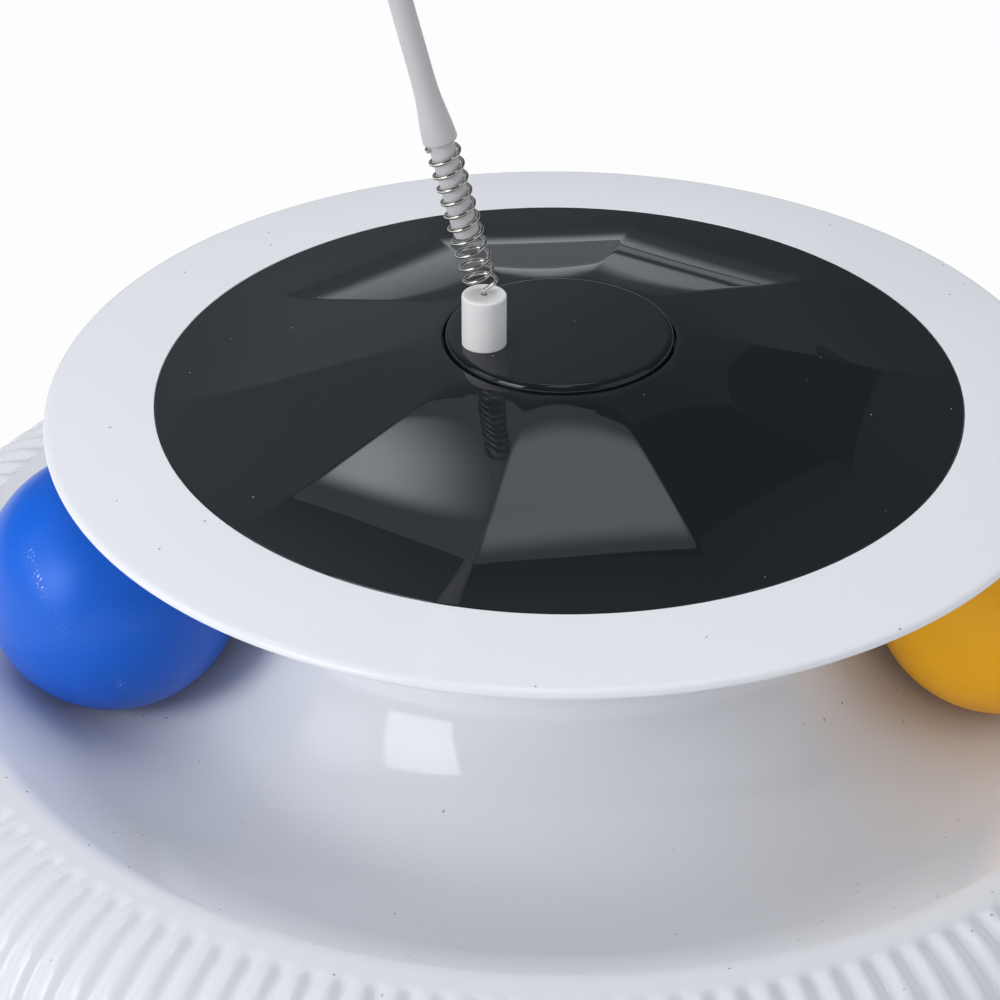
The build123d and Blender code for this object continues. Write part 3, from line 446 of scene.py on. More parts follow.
def rounded(points, steps=4):
    """Corners of a closed outline, each given as radius, height and rounding, as a list of points."""
    soft = []
    count = len(points)
    for i, (r, z, rounding) in enumerate(points):
        corner = np.array((r, z))
        if rounding == 0:
            soft.append(corner)
            continue
        before = np.array(points[i - 1][:2]) - corner
        after = np.array(points[(i + 1) % count][:2]) - corner
        reach_back = min(rounding, side_share * np.linalg.norm(before))
        reach_on = min(rounding, side_share * np.linalg.norm(after))
        start = corner + before / np.linalg.norm(before) * reach_back
        end = corner + after / np.linalg.norm(after) * reach_on
        for t in np.linspace(0, 1, steps + 1):
            soft.append((1 - t) ** 2 * start + 2 * t * (1 - t) * corner + t ** 2 * end)
    return soft


def make_object(name, vertices, faces, material, sharp=35):
    """Smooth-shaded mesh object at the origin, from points in millimetres."""
    mesh = bpy.data.meshes.new(name)
    mesh.from_pydata([tuple(v) for v in np.asarray(vertices) * MM], [], faces)
    form = bmesh.new()
    form.from_mesh(mesh)
    bmesh.ops.remove_doubles(form, verts=form.verts, dist=1e-7)
    bmesh.ops.dissolve_degenerate(form, edges=form.edges, dist=1e-8)
    form.to_mesh(mesh)
    form.free()
    mesh.materials.append(material)
    mesh.shade_smooth()
    mesh.set_sharp_from_angle(angle=math.radians(sharp))
    return put(name, mesh)


def grid_faces(rings, length, closed_length=True):
    """Quads between neighbouring points of neighbouring rings, the last ring meeting the first."""
    faces = []
    last = length if closed_length else length - 1
    for i in range(rings):
        here, there = i * length, (i + 1) % rings * length
        for j in range(last):
            k = (j + 1) % length
            faces.append((here + j, there + j, there + k, here + k))
    return faces


# %% Turning helpers
def spin_points(outline, steps):
    """Points of an outline at each step of a turn about Z."""
    radii, heights = np.asarray(outline).T
    angles = np.arange(steps) * TURN / steps
    rings = [np.stack([radii * math.cos(a), radii * math.sin(a), heights], 1) for a in angles]
    return np.concatenate(rings)


def turned(name, outline, steps, material, place=None):
    """Turned piece from a closed outline, optionally carried to a place by a matrix in millimetres."""
    points = spin_points(outline, steps)
    if place is not None:
        points = np.array([place @ Vector(p) for p in points])
    hollow = outline[0][0] > 0 or outline[-1][0] > 0
    return make_object(name, points, grid_faces(steps, len(outline), hollow), material)


def dress(piece, body, node):
    """Piece rides on a body and stands for a CAD node, which it hides."""
    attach(piece, body)
    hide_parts(node)
    print(piece.name, "faces", len(piece.data.polygons))


# %% [markdown]
# ## Fluted body
# The body is one moulding: a bulging reeded wall, a smooth rim, a dished track and a column. Its reeds could
# be modelled one by one and copied round. Here the section is spun into a plain skin first, and a Geometry
# Nodes tree then presses the reeds into it: each point knows its angle, so one formula shapes every reed,
# and a stored weight lets the reeds die away at the rim.

# %% Section of the body
track_floor, track_radius = 28.0, 69.2
track_arc, cove_arc = 21.0, 25.2
crest_radius, crest_height, crest_arc = 94.4, 38.0, 6.0
wall_arc, wall_centre, wall_thickness = 22.0, 16.0, 2.4
base_top, deck_bottom = 4.5, 71.2
reed_start, reed_full = 84.0, 77.5
column_radius, web_inner, web_thickness = 44.0, 34.1, 2.4
rise = crest_height - crest_arc - track_floor - track_arc
run = crest_radius - track_radius
track_slope = math.atan2(rise, run) + math.asin((track_arc + crest_arc) / math.hypot(run, rise))


def bend(centre, radius, angles):
    """Points of an outline at angles in radians about a centre."""
    return np.stack([centre[0] + radius * np.cos(angles), centre[1] + radius * np.sin(angles)], 1)


def arc(centre, radius, start, end, count):
    """Points evenly along an arc of an outline between two angles in radians."""
    return bend(centre, radius, np.linspace(start, end, count))


def wall_stops(foot, count, reeded):
    """Angles in degrees up the wall, crowded where the reeds die away."""
    if not reeded:
        return np.linspace(foot, 90, count)
    return np.concatenate([np.linspace(foot, reed_full - 4, count),
                           np.linspace(reed_full - 2, reed_start + 1, 10),
                           np.linspace(reed_start + 4, 90, 4)])


def skin(depth, wall_count, cove_count):
    """Section at a depth below the surface, from the wall's foot over rim and track to the column's top."""
    quarter = math.pi / 2
    foot = math.degrees(math.asin((base_top - wall_centre) / (wall_arc - depth)))
    stops = np.radians(wall_stops(foot, wall_count, depth == 0))
    wall = bend((crest_radius, wall_centre), wall_arc - depth, stops)
    crest_centre = (crest_radius, crest_height - crest_arc)
    crest = arc(crest_centre, crest_arc - depth, quarter, quarter + track_slope, 7)
    dish_centre = (track_radius, track_floor + track_arc)
    dish = arc(dish_centre, track_arc + depth, track_slope - quarter, -quarter, 9)
    cove = arc((track_radius, track_floor + cove_arc), cove_arc + depth, -quarter, -2 * quarter, cove_count)
    top = np.array([(column_radius - depth, deck_bottom - (web_thickness if depth else 0))])
    return np.concatenate([wall, crest[1:], dish, cove[1:], top])


outer_skin = skin(0.0, 14, 14)
inner_skin = skin(wall_thickness, 7, 5)
web = np.array([(web_inner, deck_bottom), (web_inner, deck_bottom - web_thickness)])
body_outline = np.concatenate([outer_skin, web, inner_skin[::-1]])
print("body section points:", len(body_outline))


# %% Helpers for Geometry Nodes
def geometry_tree(name, **inputs):
    """Geometry Nodes tree with its named inputs, and the outputs of its start."""
    tree = bpy.data.node_groups.new(name, "GeometryNodeTree")
    for key, kind in {"Geometry": "Geometry", **inputs}.items():
        tree.interface.new_socket(key.replace("_", " "), in_out="INPUT", socket_type="NodeSocket" + kind)
    tree.interface.new_socket("Geometry", in_out="OUTPUT", socket_type="NodeSocketGeometry")
    return tree, tree.nodes.new("NodeGroupInput").outputs


def end_tree(tree, shape, finish):
    """End of a tree: plain realized geometry with its finish."""
    real = add(tree, "GeometryNodeRealizeInstances", Geometry=shape).outputs["Geometry"]
    painted = add(tree, "GeometryNodeSetMaterial", Geometry=real, Material=finish).outputs["Geometry"]
    add(tree, "NodeGroupOutput", Geometry=painted)
    return tree


def stored(tree, name, kind):
    """Values that a mesh's points carry under a name."""
    return add(tree, "GeometryNodeInputNamedAttribute", Name=name,
               settings={"data_type": kind}).outputs["Attribute"]


def socket_id(tree, name):
    """Identifier of a named input of a tree."""
    return [s.identifier for s in tree.interface.items_tree if s.in_out == "INPUT" and s.name == name][0]


def grow(name, start, tree, sharp=35, **inputs):
    """Plain mesh object from a start object and a Geometry Nodes tree with its inputs set."""
    modifier = start.modifiers.new(tree.name, "NODES")
    modifier.node_group = tree
    for key, value in inputs.items():
        modifier[socket_id(tree, key.replace("_", " "))] = value
    bpy.context.view_layer.update()
    evaluated = start.evaluated_get(bpy.context.evaluated_depsgraph_get())
    mesh = bpy.data.meshes.new_from_object(evaluated)
    mesh.name = name
    mesh.shade_smooth()
    mesh.set_sharp_from_angle(angle=math.radians(sharp))
    bpy.data.objects.remove(start)
    return put(name, mesh)


# %% Reed tree
crest_breadth = 1.2


def reed_tree():
    """Geometry Nodes tree that presses rounded reeds into a spun skin."""
    tree, enter = geometry_tree("reeds", Reed_Count="Float", Crest_Height="Float", Reed_Depth="Float",
                                Finish="Material")
    axes = add(tree, "ShaderNodeSeparateXYZ", add(tree, "GeometryNodeInputPosition").outputs[0]).outputs
    turn_share = maths(tree, "DIVIDE", maths(tree, "ARCTAN2", axes["Y"], axes["X"]), TURN)
    reeds = maths(tree, "MULTIPLY", turn_share, enter["Reed Count"])
    across = maths(tree, "FRACT", maths(tree, "ADD", reeds, 0.5))
    off_crest = maths(tree, "ABSOLUTE", maths(tree, "MULTIPLY", maths(tree, "SUBTRACT", across, 0.5), 2.0))
    broad = maths(tree, "POWER", off_crest, crest_breadth)
    wave = maths(tree, "COSINE", maths(tree, "MULTIPLY", broad, math.pi))
    share = maths(tree, "SUBTRACT", 0.5, maths(tree, "MULTIPLY", wave, 0.5))
    sunk = maths(tree, "MULTIPLY", share, enter["Reed Depth"])
    lift = maths(tree, "SUBTRACT", enter["Crest Height"], sunk)
    faded = maths(tree, "MULTIPLY", lift, stored(tree, "reed_weight", "FLOAT"))
    offset = add(tree, "ShaderNodeVectorMath", add(tree, "GeometryNodeInputNormal").outputs[0], Scale=faded,
                 settings={"operation": "SCALE"}).outputs["Vector"]
    pressed = add(tree, "GeometryNodeSetPosition", Geometry=enter["Geometry"], Offset=offset)
    return end_tree(tree, pressed.outputs["Geometry"], enter["Finish"])


# %% Body
reed_count, reed_steps = 136, 10
reed_crest, reed_depth = 0.15, 1.0
body_start = turned("body_start", body_outline, reed_count * reed_steps, body_gloss)
wall_angles = np.degrees(np.arctan2(outer_skin[:, 1] - wall_centre, outer_skin[:, 0] - crest_radius))
fade = np.clip((reed_start - wall_angles) / (reed_start - reed_full), 0, 1)
weights = np.zeros(len(body_outline))
weights[:len(outer_skin)] = fade * fade * (3 - 2 * fade)
reed_weight = body_start.data.attributes.new("reed_weight", "FLOAT", "POINT")
reed_weight.data.foreach_set("value", np.tile(weights, reed_count * reed_steps).astype(np.float32))
body_skin = grow("fluted_body", body_start, reed_tree(), sharp=50, Reed_Count=float(reed_count),
                 Crest_Height=reed_crest * MM, Reed_Depth=reed_depth * MM, Finish=body_gloss)
dress(body_skin, "housing", "body_shell")

# %% [markdown]
# ## Lid
# The lid is a wide plate that thins towards a rounded lip, with a recess for the black inset. Below it a
# short collar drops into the column, so the lid can't wander. A bevelled cylinder would miss the thinning
# and the collar. All of it is round, so one spun outline makes it.

# %% Lid
inset_radius, inset_gap, recess_floor = 61.2, 0.1, 73.2
recess_radius = inset_radius + inset_gap
lid_radius, lip_bottom, lip_top, lid_top = 78.0, 72.5, 74.0, 75.3
shaft_hole, lid_collar_inner, lid_collar_outer, lid_collar_foot = 4.6, 32.7, 34.0, 68.8
lid_outline = rounded([
    (shaft_hole, deck_bottom, 0), (lid_collar_inner, deck_bottom, 0),
    (lid_collar_inner, lid_collar_foot, 0.3), (lid_collar_outer, lid_collar_foot, 0.3),
    (lid_collar_outer, deck_bottom, 0), (column_radius, deck_bottom, 0.4), (lid_radius, lip_bottom, 0.9),
    (lid_radius, lip_top, 1.1), (recess_radius, lid_top, 0.2), (recess_radius, recess_floor, 0),
    (shaft_hole, recess_floor, 0.2)], steps=6)
lid = turned("lid", lid_outline, 256, white_gloss)
dress(lid, "housing", "lid_flange")

# %% [markdown]
# ## Faceted inset
# Ten flat planes lean on a ring and meet in ridges, a shallow apron runs round their feet, and a crown cone
# trims their heads into arches. Cutting a solid and bevelling it would leave odd corners in a mirror-black
# finish. So the height at a point is the smooth maximum and minimum of those three surfaces: the ridges stay
# crisp, and the feet sweep softly into the apron. The grid's rings crowd where two surfaces cross.

# %% Shape of the inset
facet_count = 10
facet_pitch = TURN / facet_count
first_ridge = math.radians(4.5)
facet_foot, facet_head, facet_pillow = 49.1, 21.55, 0.13
foot_height, head_height, crown_top, well_radius = 76.0, 83.85, 84.6, 17.6
facet_slope = (head_height - foot_height) / (facet_foot - facet_head)
apron_slope = (foot_height - lid_top) / (inset_radius - facet_foot)
crown_slope = (crown_top - head_height) / (facet_head - well_radius)
ridge_soft, foot_soft, crown_soft = 0.07, 2.2, 0.40


def soft_min(a, b, width):
    """Smaller of two heights with a rounded change."""
    share = np.clip(0.5 + 0.5 * (b - a) / width, 0, 1)
    return b * (1 - share) + a * share - width * share * (1 - share)


def off_middle(angle):
    """Angle from the middle of the facet that an angle falls on."""
    return (angle - first_ridge) % facet_pitch - facet_pitch / 2


def inset_height(radius, angle):
    """Height of the inset's face at a radius and an angle."""
    along = off_middle(angle)
    planes = [foot_height + facet_slope * (facet_foot - radius * math.cos(along + side * facet_pitch))
              for side in (-1, 0, 1)]
    facets = soft_min(soft_min(planes[0], planes[1], ridge_soft), planes[2], ridge_soft)
    down = np.clip((radius * math.cos(along) - facet_head) / (facet_foot - facet_head), 0, 1) * 2 - 1
    facets = facets + facet_pillow * (1 - down ** 2)
    crown = crown_top - crown_slope * (radius - well_radius)
    apron = lid_top + apron_slope * (inset_radius - radius)
    return -soft_min(-soft_min(facets, crown, crown_soft), -apron, foot_soft)


def inset_radii(angle):
    """Radii of the grid's rings along one angle, crowded at the foot and the head of a facet."""
    lean = math.cos(off_middle(angle))
    plane_top = foot_height + facet_slope * facet_foot
    foot = (plane_top - lid_top - apron_slope * inset_radius) / (facet_slope * lean - apron_slope)
    head = (plane_top - crown_top - crown_slope * well_radius) / (facet_slope * lean - crown_slope)
    head = min(max(head, well_radius + 1.2), facet_foot)
    crowd = np.array([0.9, 0.45, 0.2, 0.0, -0.2, -0.45, -0.9])
    return np.concatenate([np.linspace(inset_radius - 0.10, foot + 1.4, 14), foot + crowd,
                           np.linspace(foot - 1.6, head + 1.6, 30), head + crowd,
                           np.linspace(head - 1.0, well_radius + 0.30, 3)])


# %% Faceted inset
well_lip, well_floor, well_under, hub_hole = crown_top - 0.08, 82.6, 81.0, 6.6
under_head, under_rim, under_floor = 25.3, 58.6, 74.0
rim_wall = [(inset_radius, recess_floor), (inset_radius, recess_floor + 1.0), (inset_radius, lid_top - 0.2),
            (inset_radius - 0.03, lid_top - 0.08)]
well_and_under = [
    (well_radius + 0.12, well_lip), (well_radius + 0.03, well_lip - 0.06), (well_radius, well_lip - 0.2),
    (well_radius, well_floor), (hub_hole, well_floor), (hub_hole, well_under), (under_head, well_under),
    (facet_foot, under_floor), (under_rim, under_floor), (under_rim, recess_floor)]
facet_steps = np.concatenate([[0, 0.004, 0.010, 0.020, 0.035], np.linspace(0.06, 0.94, 22),
                              [0.965, 0.980, 0.990, 0.996]])
all_steps = np.concatenate([facet_steps + k for k in range(facet_count)])
inset_angles = first_ridge + all_steps * facet_pitch
inset_points = []
for angle in inset_angles:
    radii = inset_radii(angle)
    ring = rim_wall + list(zip(radii, inset_height(radii, angle))) + well_and_under
    inset_points += [(r * math.cos(angle), r * math.sin(angle), z) for r, z in ring]
inset_faces = grid_faces(len(inset_angles), len(ring))
inset_piece = make_object("faceted_inset", inset_points, inset_faces, black_gloss)
dress(inset_piece, "housing", "fascia")

# %% [markdown]
# ## Spinning disc and post
# The black disc fills the well with a thin gap all round, and a white post stands off its centre. Bevelled
# cylinders could make both, but an outline also gives the disc its hub, and the post a small hole in its top
# for the tail of the spring. So both are turned, the post about its own axis.

# %% Disc and post
shaft_radius, shaft_top, hub_radius, hub_bottom = 3.05, 84.15, 6.0, 75.4
disc_radius, disc_bottom, disc_top, disc_crown = 17.3, 83.2, 85.6, 0.02
disc_outline = rounded([
    (0, shaft_top, 0), (shaft_radius, shaft_top, 0), (shaft_radius, hub_bottom, 0),
    (hub_radius, hub_bottom, 0.3), (hub_radius, disc_bottom, 0.3), (disc_radius, disc_bottom, 0.3),
    (disc_radius, disc_top, 1.2), (0, disc_top + disc_crown, 0)], steps=6)
disc = turned("spinning_disc", disc_outline, 192, black_gloss)
dress(disc, "rotor", "rotor_disc")

post_x, post_y, post_bottom, post_top, post_radius = -11.318, -3.897, 85.5, 93.8, 3.35
tail_hole, tail_floor = 0.475, 87.8
post_outline = rounded([
    (0, post_bottom, 0), (post_radius, post_bottom, 0), (post_radius, post_bottom + 0.25, 0),
    (post_radius, post_top, 0.45), (tail_hole, post_top, 0.12), (tail_hole, tail_floor, 0),
    (0, tail_floor, 0)], steps=5)
post = turned("wand_post_skin", post_outline, 96, white_satin, Matrix.Translation((post_x, post_y, 0)))
dress(post, "rotor", "wand_post")

# %% [markdown]
# ## Spring
# The wire climbs out of the post, swings aside and winds up the lean of the wand. A bevelled curve could
# make it, but a tree is easier to reuse: the centre line is a list of points, and a Geometry Nodes tree
# sweeps a round profile along it. The coil is made as two halves, split partway up.


# %% Wire tree
def wire_tree():
    """Geometry Nodes tree that sweeps a round wire along a line of points."""
    tree, enter = geometry_tree("wire", Wire_Radius="Float", Wire_Sides="Int", Finish="Material")
    line = add(tree, "GeometryNodeMeshToCurve", Mesh=enter["Geometry"]).outputs["Curve"]
    profile = add(tree, "GeometryNodeCurvePrimitiveCircle", Resolution=enter["Wire Sides"],
                  Radius=enter["Wire Radius"]).outputs["Curve"]
    sweep = add(tree, "GeometryNodeCurveToMesh", Curve=line, Profile_Curve=profile, Fill_Caps=True)
    return end_tree(tree, sweep.outputs["Mesh"], enter["Finish"])


wire = wire_tree()


def wire_piece(name, points, radius, sides, material):
    """Wire along points in millimetres, as a plain mesh."""
    mesh = bpy.data.meshes.new(name + "_line")
    mesh.from_pydata([Vector(p) * MM for p in points], [(i, i + 1) for i in range(len(points) - 1)], [])
    line = put(name + "_line", mesh)
    return grow(name, line, wire, sharp=50, Wire_Radius=radius * MM, Wire_Sides=sides, Finish=material)


# %% Line of the spring
wand_lean = math.radians(14.15)
tip = Vector((-math.sin(wand_lean), 0, math.cos(wand_lean)))
side = Vector((math.cos(wand_lean), 0, math.sin(wand_lean)))
wand_foot = Vector((post_x, post_y, post_top))
wand_place = Matrix.Translation(wand_foot) @ Matrix((side, Vector((0, 1, 0)), tip)).transposed().to_4x4()
coil_radius, coil_pitch, coil_start, coil_turns = 2.30, 2.2, 1.8, 10.6
wire_radius, wire_sides, turn_steps = 0.30, 14, 32
bend_start, split_rise, spigot_bottom = 1.5, 7.0, 10.195
tail_bottom, tail_pull, coil_pull = 88.8, 1.8, 2.6


def swing(start, start_way, end, end_way, count):
    """Smooth points between two points with given directions."""
    t = np.linspace(0, 1, count)[:, None]
    return ((2 * t ** 3 - 3 * t ** 2 + 1) * start + (t ** 3 - 2 * t ** 2 + t) * start_way
            + (3 * t ** 2 - 2 * t ** 3) * end + (t ** 3 - t ** 2) * end_way)


def coil_point(winding):
    """Point of the coil after a number of turns."""
    angle = TURN * winding
    return wand_place @ Vector((coil_radius * math.cos(angle), coil_radius * math.sin(angle),
                                coil_start + coil_pitch * winding))


def windings(first, last):
    """Points of the coil from one number of turns to another."""
    return [coil_point(t) for t in np.linspace(first, last, int((last - first) * turn_steps) + 1)]


tail_low = np.array((wand_foot.x, wand_foot.y, tail_bottom))
tail_top = np.array((wand_foot.x, wand_foot.y, post_top + wire_radius))
coil_first = np.array(coil_point(0))
coil_way = np.array(coil_point(0.01)) - coil_first
coil_way *= coil_pull / np.linalg.norm(coil_way)
tail = np.concatenate([np.linspace(tail_low, tail_top, 6)[:-1],
                       swing(tail_top, np.array((0, 0, tail_pull)), coil_first, coil_way, 16)[:-1]])
split_turn = (split_rise - coil_start) / coil_pitch
low_points = list(tail) + windings(0, split_turn)
high_points = windings(split_turn, coil_turns)
print("spring points:", len(low_points), len(high_points))

# %% Spring
spring_low = wire_piece("spring_lower", low_points, wire_radius, wire_sides, spring_nickel)
spring_high = wire_piece("spring_upper", high_points, wire_radius, wire_sides, spring_nickel)
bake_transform(spring_low)
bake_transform(spring_high)
for half in (spring_low, spring_high):
    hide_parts("wand_spring")
    print(half.name, "faces", len(half.data.polygons))

# %% [markdown]
# ## Wand and lure
# The wand is a long tapered rod: a spigot that fills the coil, a flared collar that rests on it, and a slow
# taper to the cap. Each piece could be tilted as an object, but a finished piece sits unturned at the
# origin. So one matrix carries the points of each outline to the wand's own leaning axis.

# %% Wand and cap
collar_bottom, rod_top, cap_web_top, cap_top, quill_top = 25.795, 160.795, 161.895, 169.895, 172.895
spigot_radius, collar_radius, collar_waist = 1.92, 2.6, 2.45
neck_radius, rod_root, rod_tip = 1.85, 1.75, 1.5
rod_outline = rounded([
    (0, spigot_bottom, 0), (spigot_radius, spigot_bottom, 0.5), (spigot_radius, collar_bottom, 0),
    (collar_radius, collar_bottom, 0.5), (collar_waist, collar_bottom + 2.2, 1.2),
    (neck_radius, collar_bottom + 7.0, 2.5), (rod_root, collar_bottom + 10.0, 2.0), (rod_tip, rod_top, 0.3),
    (0, rod_top, 0)], steps=5)
# The rod's finish carries painted shade: a greyer copy of the post's satin white.
rod = turned("wand_rod_skin", rod_outline, 64, wand_satin_painted_shade, wand_place)
dress(rod, "wand", "wand_rod")

cap_bottom, cap_radius, cap_bore, cap_socket, cap_eye = rod_top - 8.0, 3.2, 1.62, 2.4, 0.2
bore_top = rod_top + 0.1
cap_outline = rounded([
    (cap_bore, cap_bottom, 0.2), (cap_radius, cap_bottom, 0.7), (cap_radius, cap_top, 0.6),
    (cap_socket, cap_top, 0.2), (cap_socket, cap_web_top, 0), (cap_eye, cap_web_top, 0),
    (cap_eye, bore_top, 0), (cap_bore, bore_top, 0)], steps=5)
cap = turned("lure_cap_skin", cap_outline, 64, white_satin, wand_place)
dress(cap, "wand", "lure_cap")

# %% [markdown]
# ## Repeats
# Barbs, screws and feet are one small shape set down many times. Copies in a loop would do, but a Geometry
# Nodes tree does it in one go: it places the shape on points that carry a direction to face, a direction for
# its flat side and a scale, then adds a little seeded disorder and realizes everything into one mesh.


# %% Scatter tree
def scatter_tree():
    """Geometry Nodes tree that sets a shape on points with directions and scales of their own."""
    tree, enter = geometry_tree("scatter", Shape="Object", Disorder="Float", Seed="Int", Finish="Material")
    shape = add(tree, "GeometryNodeObjectInfo", Object=enter["Shape"]).outputs["Geometry"]
    facing = add(tree, "FunctionNodeAxesToRotation", Primary_Axis=stored(tree, "aim", "FLOAT_VECTOR"),
                 Secondary_Axis=stored(tree, "flat", "FLOAT_VECTOR"),
                 settings={"primary_axis": "Z", "secondary_axis": "X"}).outputs["Rotation"]
    least = maths(tree, "MULTIPLY", enter["Disorder"], -1.0)
    stir = add(tree, "FunctionNodeRandomValue", Max=enter["Disorder"], Min=least, Seed=enter["Seed"],
               settings={"data_type": "FLOAT_VECTOR"}).outputs["Value"]
    tilt = add(tree, "FunctionNodeEulerToRotation", Euler=stir).outputs["Rotation"]
    turned_axes = add(tree, "FunctionNodeRotateRotation", Rotation=facing, Rotate_By=tilt,
                      settings={"rotation_space": "LOCAL"}).outputs["Rotation"]
    copies = add(tree, "GeometryNodeInstanceOnPoints", Points=enter["Geometry"], Instance=shape,
                 Rotation=turned_axes, Scale=stored(tree, "reach", "FLOAT"))
    return end_tree(tree, copies.outputs["Instances"], enter["Finish"])


scatter = scatter_tree()


def scattered(name, shape, points, aims, flats, reaches, disorder, seed, material):
    """One plain mesh of a shape set on points in millimetres; the shape itself is removed."""
    mesh = bpy.data.meshes.new(name + "_points")
    mesh.from_pydata([Vector(p) * MM for p in points], [], [])
    for key, rows in (("aim", aims), ("flat", flats)):
        layer = mesh.attributes.new(key, "FLOAT_VECTOR", "POINT")
        layer.data.foreach_set("vector", np.asarray(rows, np.float32).ravel())
    layer = mesh.attributes.new("reach", "FLOAT", "POINT")
    layer.data.foreach_set("value", np.asarray(reaches, np.float32))
    start = put(name + "_points", mesh)
    piece = grow(name, start, scatter, Shape=shape, Disorder=disorder, Seed=seed, Finish=material)
    bpy.data.objects.remove(shape)
    return piece


# %% [markdown]
# ## Feathers
# The photograph ends below the lure, so these four feathers are a guess. A flat leaf with a picture on it
# would look like paper from the side. So each feather has a tapered shaft, and its vane is a row of barbs on
# both sides. A barb's length comes from the leaf outline that it has to reach.


# %% Feather finish
def feather_finish(name, dark, pale):
    """Soft dyed barbs with paler streaks."""
    material, tree, shader, place = finish_nodes(name)
    streaks = ramp(tree, noise(tree, place, 260.0, 4.0), 0.35, 0.65, 0.0, 1.0)
    feed(tree, shader, Base_Color=tint(tree, streaks, dark, pale), Roughness=0.72, Sheen_Weight=0.4)
    return material


feather_dye = feather_finish("feather_dye", (0.42, 0.20, 0.05), (0.66, 0.40, 0.13))
shaft_ivory = moulded_plastic("shaft_ivory", (0.62, 0.52, 0.36), 0.5, 0.1)
print("finishes so far:", len(bpy.data.materials))

# %% Barbs
feather_count, feather_length, feather_half = 4, 76.0, 8.0
leaf_radius = (feather_length ** 2 / 4 + feather_half ** 2) / (2 * feather_half)
barb_lean, barb_rows, barb_disorder, barb_seed = math.radians(34), 110, 0.07, 7
barb_out, barb_on = math.sin(barb_lean), math.cos(barb_lean)
first_barb, last_barb, barb_root = 1.0, feather_length - 2.5, 0.15
shortest_barb, longest_barb = 0.5, 24


def leaf_half(along):
    """Half width of the leaf outline at a distance along it."""
    along = np.clip(along, 0, feather_length)
    return np.sqrt(leaf_radius ** 2 - (along - feather_length / 2) ** 2) - (leaf_radius - feather_half)


def barb_reach(root):
    """Length of a barb from its root to the leaf outline."""
    lengths = np.linspace(shortest_barb, longest_barb, 200)
    over = lengths * barb_out - leaf_half(root + lengths * barb_on)
    return float(lengths[np.argmax(over > 0)])


def barb_shape():
    """One thin barb, a unit long, flat and pointed, that bows towards the feather's tip."""
    sections = [(0.0, 0.016), (0.25, 0.030), (0.55, 0.028), (0.85, 0.016), (1.0, 0.002)]
    points = []
    for t, half in sections:
        bow = 0.10 * t * t
        points += [(half, bow, t), (0, bow + half * 0.55, t), (-half, bow, t), (0, bow - half * 0.55, t)]
    faces = [(4 * s + j, 4 * s + (j + 1) % 4, 4 * s + 4 + (j + 1) % 4, 4 * s + 4 + j)
             for s in range(len(sections) - 1) for j in range(4)]
    last = 4 * (len(sections) - 1)
    faces += [(3, 2, 1, 0), (last, last + 1, last + 2, last + 3)]
    return make_object("barb", points, faces, feather_dye)


def joined(name, parts):
    """One mesh object from several, all at the origin."""
    form = bmesh.new()
    for part in parts:
        form.from_mesh(part.data)
    mesh = bpy.data.meshes.new(name)
    form.to_mesh(mesh)
    form.free()
    mesh.materials.append(parts[0].data.materials[0])
    mesh.shade_smooth()
    for part in parts:
        bpy.data.objects.remove(part)
    return put(name, mesh)


# %% Feathers
feather_base, feather_circle, feather_splay = quill_top - 1.0, 1.4, math.radians(18)
quill_foot = cap_web_top + 0.1
shaft_root, shaft_tip, quill_root, quill_neck = 0.55, 0.12, 0.68, 0.6
shaft_outline = rounded([
    (0, 0, 0), (shaft_root, 0, 0), (shaft_tip, feather_length - 1, 0.05), (0, feather_length - 0.9, 0)])
quill_outline = rounded([
    (0, quill_foot, 0), (quill_root, quill_foot, 0.2), (quill_neck, quill_top, 0.2),
    (0, quill_top + 0.2, 0)])
roots, aims, flats, reaches, shafts = [], [], [], [], []
for k in range(feather_count):
    spin = wand_place @ Matrix.Rotation(TURN * k / feather_count, 4, "Z")
    splay = Matrix.Rotation(feather_splay, 4, "Y")
    place = spin @ Matrix.Translation((feather_circle, 0, feather_base)) @ splay
    for row in range(barb_rows):
        along = first_barb + (last_barb - first_barb) * row / (barb_rows - 1)
        for hand in (-1, 1):
            roots.append(place @ Vector((0, hand * barb_root, along)))
            aims.append(place.to_3x3() @ Vector((0, hand * barb_out, barb_on)))
            flats.append(place.to_3x3() @ Vector((0, barb_on, -hand * barb_out)))
            reaches.append(barb_reach(along))
    quill_place = spin @ Matrix.Translation((feather_circle, 0, 0))
    shafts.append(turned("shaft", shaft_outline, 10, shaft_ivory, place))
    shafts.append(turned("quill", quill_outline, 12, shaft_ivory, quill_place))
barbs = scattered("feather_barbs", barb_shape(), roots, aims, flats, reaches, barb_disorder, barb_seed,
                  feather_dye)
dress(barbs, "wand", "lure_feathers")
quills = joined("feather_shafts", shafts)
dress(quills, "wand", "lure_feathers")

# %% [markdown]
# ## Balls
# Two hollow balls lie in the track. A plain sphere would do for the shape. Here each ball is turned about
# the axis of its two halves, so that a fine groove marks where they were welded.

# %% Balls
ball_radius, ball_gap = 20.0, 0.3
ball_points, ball_steps = 122, 160
ball_height = track_floor + ball_radius + ball_gap
groove_depth, groove_width = 0.07, 0.010


def ball(name, azimuth, seam, colour, cloud, worn):
    """Ball with a weld groove, at an angle round the track."""
    turn_angle = math.radians(azimuth)
    centre = Vector((track_radius * math.cos(turn_angle), track_radius * math.sin(turn_angle), ball_height))
    seam = Vector(seam).normalized()
    skin_paint = ball_skin(name + "_skin", colour, cloud, centre * MM, seam, worn)
    angles = np.linspace(-math.pi / 2, math.pi / 2, ball_points)
    radii = ball_radius - groove_depth * np.exp(-(angles / groove_width) ** 2)
    outline = bend((0, 0), radii, angles)
    outline[[0, -1], 0] = 0
    lean = Vector((0, 0, 1)).rotation_difference(seam).to_matrix().to_4x4()
    return turned(name, outline, ball_steps, skin_paint, Matrix.Translation(centre) @ lean)


